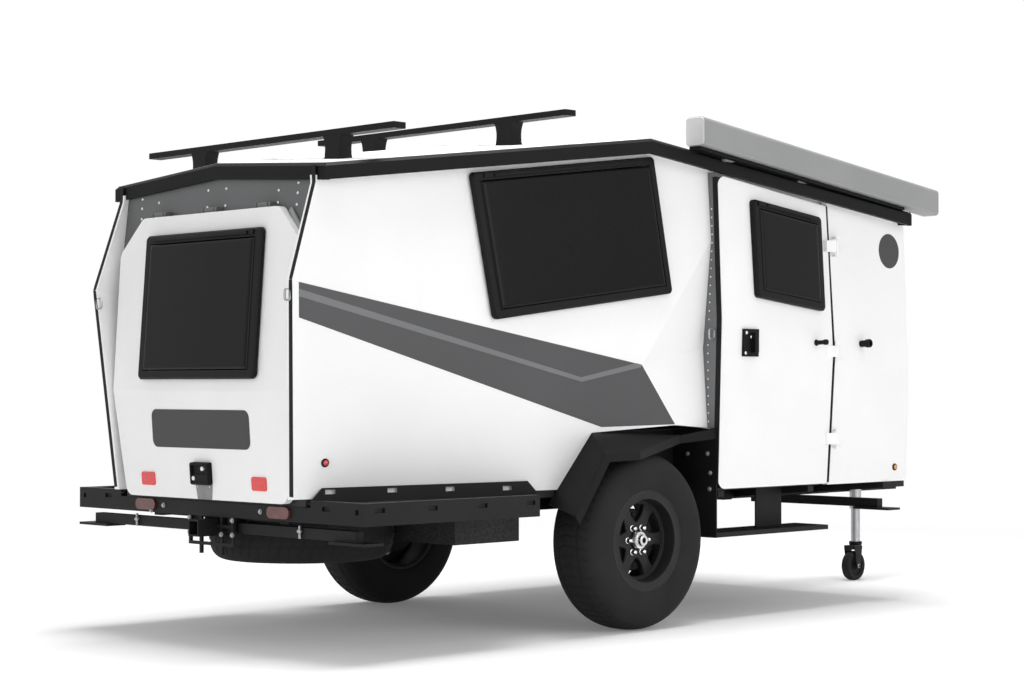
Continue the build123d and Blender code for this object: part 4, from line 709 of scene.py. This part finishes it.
# Door: white composite with black edging on its four sides, a rubber seal down the hinge gap, chrome
# screws on the lock, a black pull knob, and the catch that holds it open on the front panel.
door_paint = grained("white_composite_door", "#f2f2f2", "#f9f9f9", 0.6, 0.004, 0.0003, Roughness=0.55)
edging_end_y, edging_top_z = ground[1] + 1.100, 0.620


def door_edging(tree):
    """Gives 1 on the door's narrow sides, at its rear and at its foot: where the normal leaves the X axis."""
    place = add_node(tree, "ShaderNodeTexCoord")
    normal = add_node(tree, "ShaderNodeSeparateXYZ", {0: place.outputs["Normal"]})
    size = add_node(tree, "ShaderNodeMath", {0: normal.outputs[0]}, operation="ABSOLUTE")
    thin = add_node(tree, "ShaderNodeMath", {0: size.outputs[0], 1: 0.6}, operation="LESS_THAN")
    rear = side_of(tree, "Object", 1, "LESS_THAN", edging_end_y)
    foot = side_of(tree, "Object", 2, "LESS_THAN", edging_top_z)
    either = add_node(tree, "ShaderNodeMath", {0: rear, 1: foot}, operation="MAXIMUM").outputs[0]
    return add_node(tree, "ShaderNodeMath", {0: thin.outputs[0], 1: either}, operation="MULTIPLY").outputs[0]


painted_where(door_paint, door_edging, "#141415")
dress(door_paint, "door")
front_skin = skin_of("wall_front_right")
inward = (-1.0, 0.0, 0.0)
seal_z = np.linspace(1.800, 0.566, 32)
seal_y = np.interp(seal_z, (0.566, 1.138, 1.800), (1.2160, 1.2422, 1.2162))
near_y, far_y = 1.320, 1.420
near_spots = np.array([spot_on(front_skin, (off_side, near_y, z), inward)[0] for z in seal_z])
far_spots = np.array([spot_on(front_skin, (off_side, far_y, z), inward)[0] for z in seal_z])
seal_x = near_spots[:, 0] + (near_spots[:, 0] - far_spots[:, 0]) * (near_y - seal_y) / (far_y - near_y)
path = np.stack([seal_x, seal_y, seal_z], -1)
seal_profile = [(-0.0050, -0.004), (0.0050, -0.004), (0.0050, 0.0012), (0.0035, 0.0024), (-0.0035, 0.0024),
                (-0.0050, 0.0012)]
add_piece("door_seal", *swept(path, seal_profile, (0, 1, 0)), edging_rubber, "trailer")
post_seal = [(0.838, 0.446, 1.880), (0.860, 0.446, 1.278), (0.846, 0.446, 0.818), (0.839, 0.446, 0.585)]
post_profile = rounded(0.026, 0.006, 0.002)
add_piece("door_post_seal", *swept(post_seal, post_profile, (1, 0, 0)), edging_rubber, "trailer")
door_skin = skin_of("door")
chrome_screw = turned([(0.0075, -0.001), (0.0075, 0.0012), (0.0062, 0.0026), (0.0030, 0.0034)], 18)
lock_skin = skin_of("door_lock")
screw_places = ((0.606, 1.222), (0.602, 1.136), (0.638, 1.205), (0.672, 1.147))
spots = [spot_on(lock_skin, (off_side, y, z), inward) for y, z in screw_places]
add_piece("lock_screws", *on_spots(chrome_screw, spots), chrome, "door", smooth=True)
pull = turned([(0.0140, -0.001), (0.0140, 0.0040), (0.0100, 0.0060), (0.0095, 0.0400), (0.0115, 0.0440),
               (0.0125, 0.0480), (0.0125, 0.0590), (0.0105, 0.0620)], 32)
pull_spot = spot_on(door_skin, (off_side, 1.108, 1.187), inward)
add_piece("door_pull", *on_spots(pull, [pull_spot]), trim_coat, "door", smooth=True)
catch = turned([(0.0150, -0.001), (0.0150, 0.0300), (0.0190, 0.0320), (0.0190, 0.0500), (0.0175, 0.0520),
                (0.0130, 0.0520), (0.0120, 0.0440)], 40)
catch_spot = spot_on(front_skin, (off_side, 1.447, 1.187), inward)
add_piece("door_catch", *on_spots(catch, [catch_spot]), trim_coat, "trailer")
disc_plate = turned([(0.0800, -0.001), (0.0800, 0.0008), (0.0790, 0.0012)], 64)
disc_spot = spot_on(front_skin, (off_side, 1.690, 1.620), inward)
add_piece("blank_disc", *on_spots(disc_plate, [disc_spot]), plate_black, "trailer")


# Side markers: round lenses in black rubber grommets, amber on the front section and red low on the
# tail.
amber_lens = grained("amber_moulded_lens", "#d98a1e", "#f0a63a", 0.006, 0.002, 0.0003, Roughness=0.2,
                     Coat_Weight=0.5)
bright_red_lens = grained("red_marker_lens", "#d23434", "#ea4545", 0.006, 0.002, 0.0003, Roughness=0.2,
                          Coat_Weight=0.5)
grommet = turned([(0.0160, -0.001), (0.0160, 0.0040), (0.0140, 0.0065), (0.0110, 0.0065),
                  (0.0105, 0.0045)], 32)
lens = turned([(0.0105, 0.001), (0.0105, 0.0060), (0.0090, 0.0090), (0.0050, 0.0108), (0.0015, 0.0112)], 32)
for end, side in (("right", 1), ("left", -1)):
    tail_skin, nose_skin = skin_of(f"wall_rear_{end}"), skin_of(f"wall_front_{end}")
    aim = (-side, 0, 0)
    tail_spot = spot_on(tail_skin, (side * off_side, -1.485, 0.714), aim)
    nose_spot = spot_on(nose_skin, (side * off_side, 1.719, 0.620), aim)
    add_piece(f"marker_grommets_{end}", *on_spots(grommet, [tail_spot, nose_spot]), edging_rubber, "trailer",
              smooth=True)
    add_piece(f"red_marker_{end}", *on_spots(lens, [tail_spot]), bright_red_lens, "trailer", smooth=True)
    add_piece(f"amber_marker_{end}", *on_spots(lens, [nose_spot]), amber_lens, "trailer", smooth=True)


# Awning: a paler moulded cap closes the cassette's rear end, and a black rail carries it along the roof's
# edge.
awning_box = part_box("awning")
cap_plastic = grained("pale_grey_moulded_cap", "#bfbfbf", "#c8c8c8", 0.05, 0.002, 0.0001, Roughness=0.5)
awning_x = awning_box[1].x - ground[0] - 0.050
cap_height, slope = 0.120, -0.11563
cap_z = awning_box[1].z - cap_height / 2 - 0.0002
cap_axes = np.array([(1.0, 0.0, 0.0), (0.0, 0.0, 1.0), (0.0, -1.0, 0.0)])
cap_shape = slab(0.098, cap_height - 0.003, 0.017, [(0.0, -0.004), (0.0, 0.0030), (0.0030, 0.0060)])
cap_place = np.array([awning_x, awning_box[0].y - ground[1], cap_z])
add_piece("awning_end_cap", *on_spots(cap_shape, [(cap_place, cap_axes)]), cap_plastic, "trailer")
rail_length = awning_box[1].y - awning_box[0].y - 0.24
rail_start = cap_place + (-0.012, 0.010, -cap_height / 2 - 0.006)
rail_path = [rail_start, rail_start + (0, rail_length, rail_length * slope)]
add_piece("awning_rail", *swept(rail_path, rounded(0.060, 0.018, 0.003), (1, 0, 0)), trim_coat, "trailer")


# Arch flares: each folded flare ends ahead of its wheel in a narrow plate that runs on to the return
# strip.
flange_foot = [(0.813, 0.250, 0.756), (0.846, 0.444, 0.772)]
flange_top = [(0.813, 0.250, 0.790), (0.846, 0.444, 0.814)]
flange_thick = 0.003
for end, side in (("right", 1), ("left", -1)):
    outer = np.array(flange_foot + flange_top[::-1]) * (side, 1, 1)
    inner = outer - (side * flange_thick, 0, 0)
    n = len(outer)
    faces = [list(range(n)), list(range(2 * n - 1, n - 1, -1))]
    faces += [(i + n, (i + 1) % n + n, (i + 1) % n, i) for i in range(n)]
    if side < 0:
        faces = [face[::-1] for face in faces]
    add_piece(f"flare_flange_{end}", np.concatenate([outer, inner]), faces, trim_coat, "trailer")


# Window hinges: a slim black rail along the top of each window frame, from which the pane hangs. The
# rails at the sides and in the door run along the slope of the roof.
hinge_profile = rounded(0.013, 0.010, 0.003)
side_ends, door_ends = ((0.000, 1.912), (-0.745, 1.812)), ((1.065, 1.740), (0.750, 1.775))
hinge_rails = (
    ("side_right", "side_window_frames", [(off_side, y, z) for y, z in side_ends], inward, "trailer"),
    ("side_left", "side_window_frames", [(-off_side, y, z) for y, z in side_ends], (1, 0, 0), "trailer"),
    ("door", "door_window_frame", [(off_side, y, z) for y, z in door_ends], inward, "door"),
    ("hatch", "hatch_window_frame", [(x, off_tail, 1.568) for x in (-0.290, 0.290)], ahead, "hatch"))
for name, node, places, aim, body in hinge_rails:
    frame_skin = skin_of(node)
    path = [spot_on(frame_skin, place, aim)[0] for place in places]
    add_piece(f"hinge_rail_{name}", *swept(path, hinge_profile, (0, 0, 1)), frame_plastic, body)


# Small fixings: dome rivets down the return strips, zinc bolts on the wheel-well plate and on the rear
# beam, and drop pins through the tail stabilisers.
strip_skin = skin_of("return_strips")
strip_z = np.arange(0.845, 1.76, 0.036)
edge_at = np.interp(strip_z, (0.818, 1.154, 1.613, 1.760), (0.800, 0.797, 0.822, 0.818))
ring_gap = 0.03
places = [(x, z) for x, z in zip(edge_at, strip_z) if abs(z - step_ring_z) > ring_gap]
for end, side in (("right", 1), ("left", -1)):
    spots = [spot_on(strip_skin, (side * x, -0.2, z), ahead) for x, z in places]
    add_piece(f"strip_rivets_{end}", *on_spots(small_rivet, spots), rivet_steel, "trailer", smooth=True)
washer = turned([(0.0100, -0.001), (0.0100, 0.0016)], 20)
hex_bolt = joined(washer, turned([(0.0075, 0.0016), (0.0075, 0.0062), (0.0064, 0.0070)], 6))
well_skin = skin_of("wheel_wells")
well_bolts = [(0.689, 0.706), (0.799, 0.709), (0.813, 0.628), (0.810, 0.560)]
spots = [spot_on(well_skin, (side * x, 0.3, z), ahead) for x, z in well_bolts for side in (-1, 1)]
add_piece("well_bolts", *on_spots(hex_bolt, spots), ring_steel, "trailer")
beam_skin = skin_of("cargo_rack")
beam_bolts = [(-0.307, 0.526), (-0.389, 0.503), (0.307, 0.526), (0.135, 0.485), (-0.135, 0.485),
              (-0.066, 0.430), (0.066, 0.430), (0.135, 0.430), (-0.135, 0.430)]
spots = [spot_on(beam_skin, (x, off_tail, z), ahead) for x, z in beam_bolts]
add_piece("beam_bolts", *on_spots(hex_bolt, spots), ring_steel, "trailer")
drop_pin = turned([(0.0040, -0.026), (0.0050, -0.024), (0.0050, -0.006), (0.0110, -0.002), (0.0110, 0.004),
                   (0.0055, 0.008), (0.0055, 0.020), (0.0030, 0.024)], 20)
for end, side in (("right", 1), ("left", -1)):
    spot = (np.array([side * 0.515, -1.539, 0.461]), np.eye(3))
    add_piece(f"drop_pin_{end}", *on_spots(drop_pin, [spot]), ring_steel, f"leg_rear_{end}", smooth=True)


# Jack foot: a black collar round the tube's end, and a caster with a moulded tyre on a dished black
# centre and a zinc axle bolt.
caster_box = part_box("caster_wheel")
caster_r = (caster_box[1].z - caster_box[0].z) / 2
caster_place = np.array((caster_box[0] + caster_box[1]) / 2) - ground
leg_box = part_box("jack_leg")
leg_place = np.array((leg_box[0] + leg_box[1]) / 2) - ground
collar = turned([(0.0232, 0.180), (0.0310, 0.180), (0.0330, 0.183), (0.0330, 0.195), (0.0310, 0.198),
                 (0.0232, 0.198)], 48, closed=True)
add_piece("jack_collar", *moved_to(collar, (leg_place[0], leg_place[1], 0)), trim_coat, "jack_leg")
half = (caster_box[1].x - caster_box[0].x) / 2
caster_tyre = [(0.0500, -half * 0.86), (0.0660, -half), (0.0715, -half * 0.9), (0.0742, -half * 0.6),
               (caster_r, -half * 0.2), (caster_r, half * 0.2), (0.0742, half * 0.6), (0.0715, half * 0.9),
               (0.0660, half), (0.0500, half * 0.86), (0.0480, half * 0.5), (0.0200, half * 0.42),
               (0.0180, half * 0.9), (0.0075, half * 0.9), (0.0075, -half * 0.9), (0.0180, -half * 0.9),
               (0.0200, -half * 0.42), (0.0480, -half * 0.5)]
shape = about_wheel(turned(caster_tyre, 96, closed=True))
caster = add_piece("caster_tyre", *moved_to(shape, caster_place), rubber, "caster_wheel")
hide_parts("caster_wheel")
nut = about_wheel(turned([(0.0110, 0.0), (0.0110, 0.0070), (0.0090, 0.0085)], 6))
fork_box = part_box("caster_fork")
nut_place = caster_place + (fork_box[1].x - caster_box[1].x + half - 0.0086, 0, 0)
add_piece("caster_nut", *moved_to(nut, nut_place), ring_steel, "caster_fork")
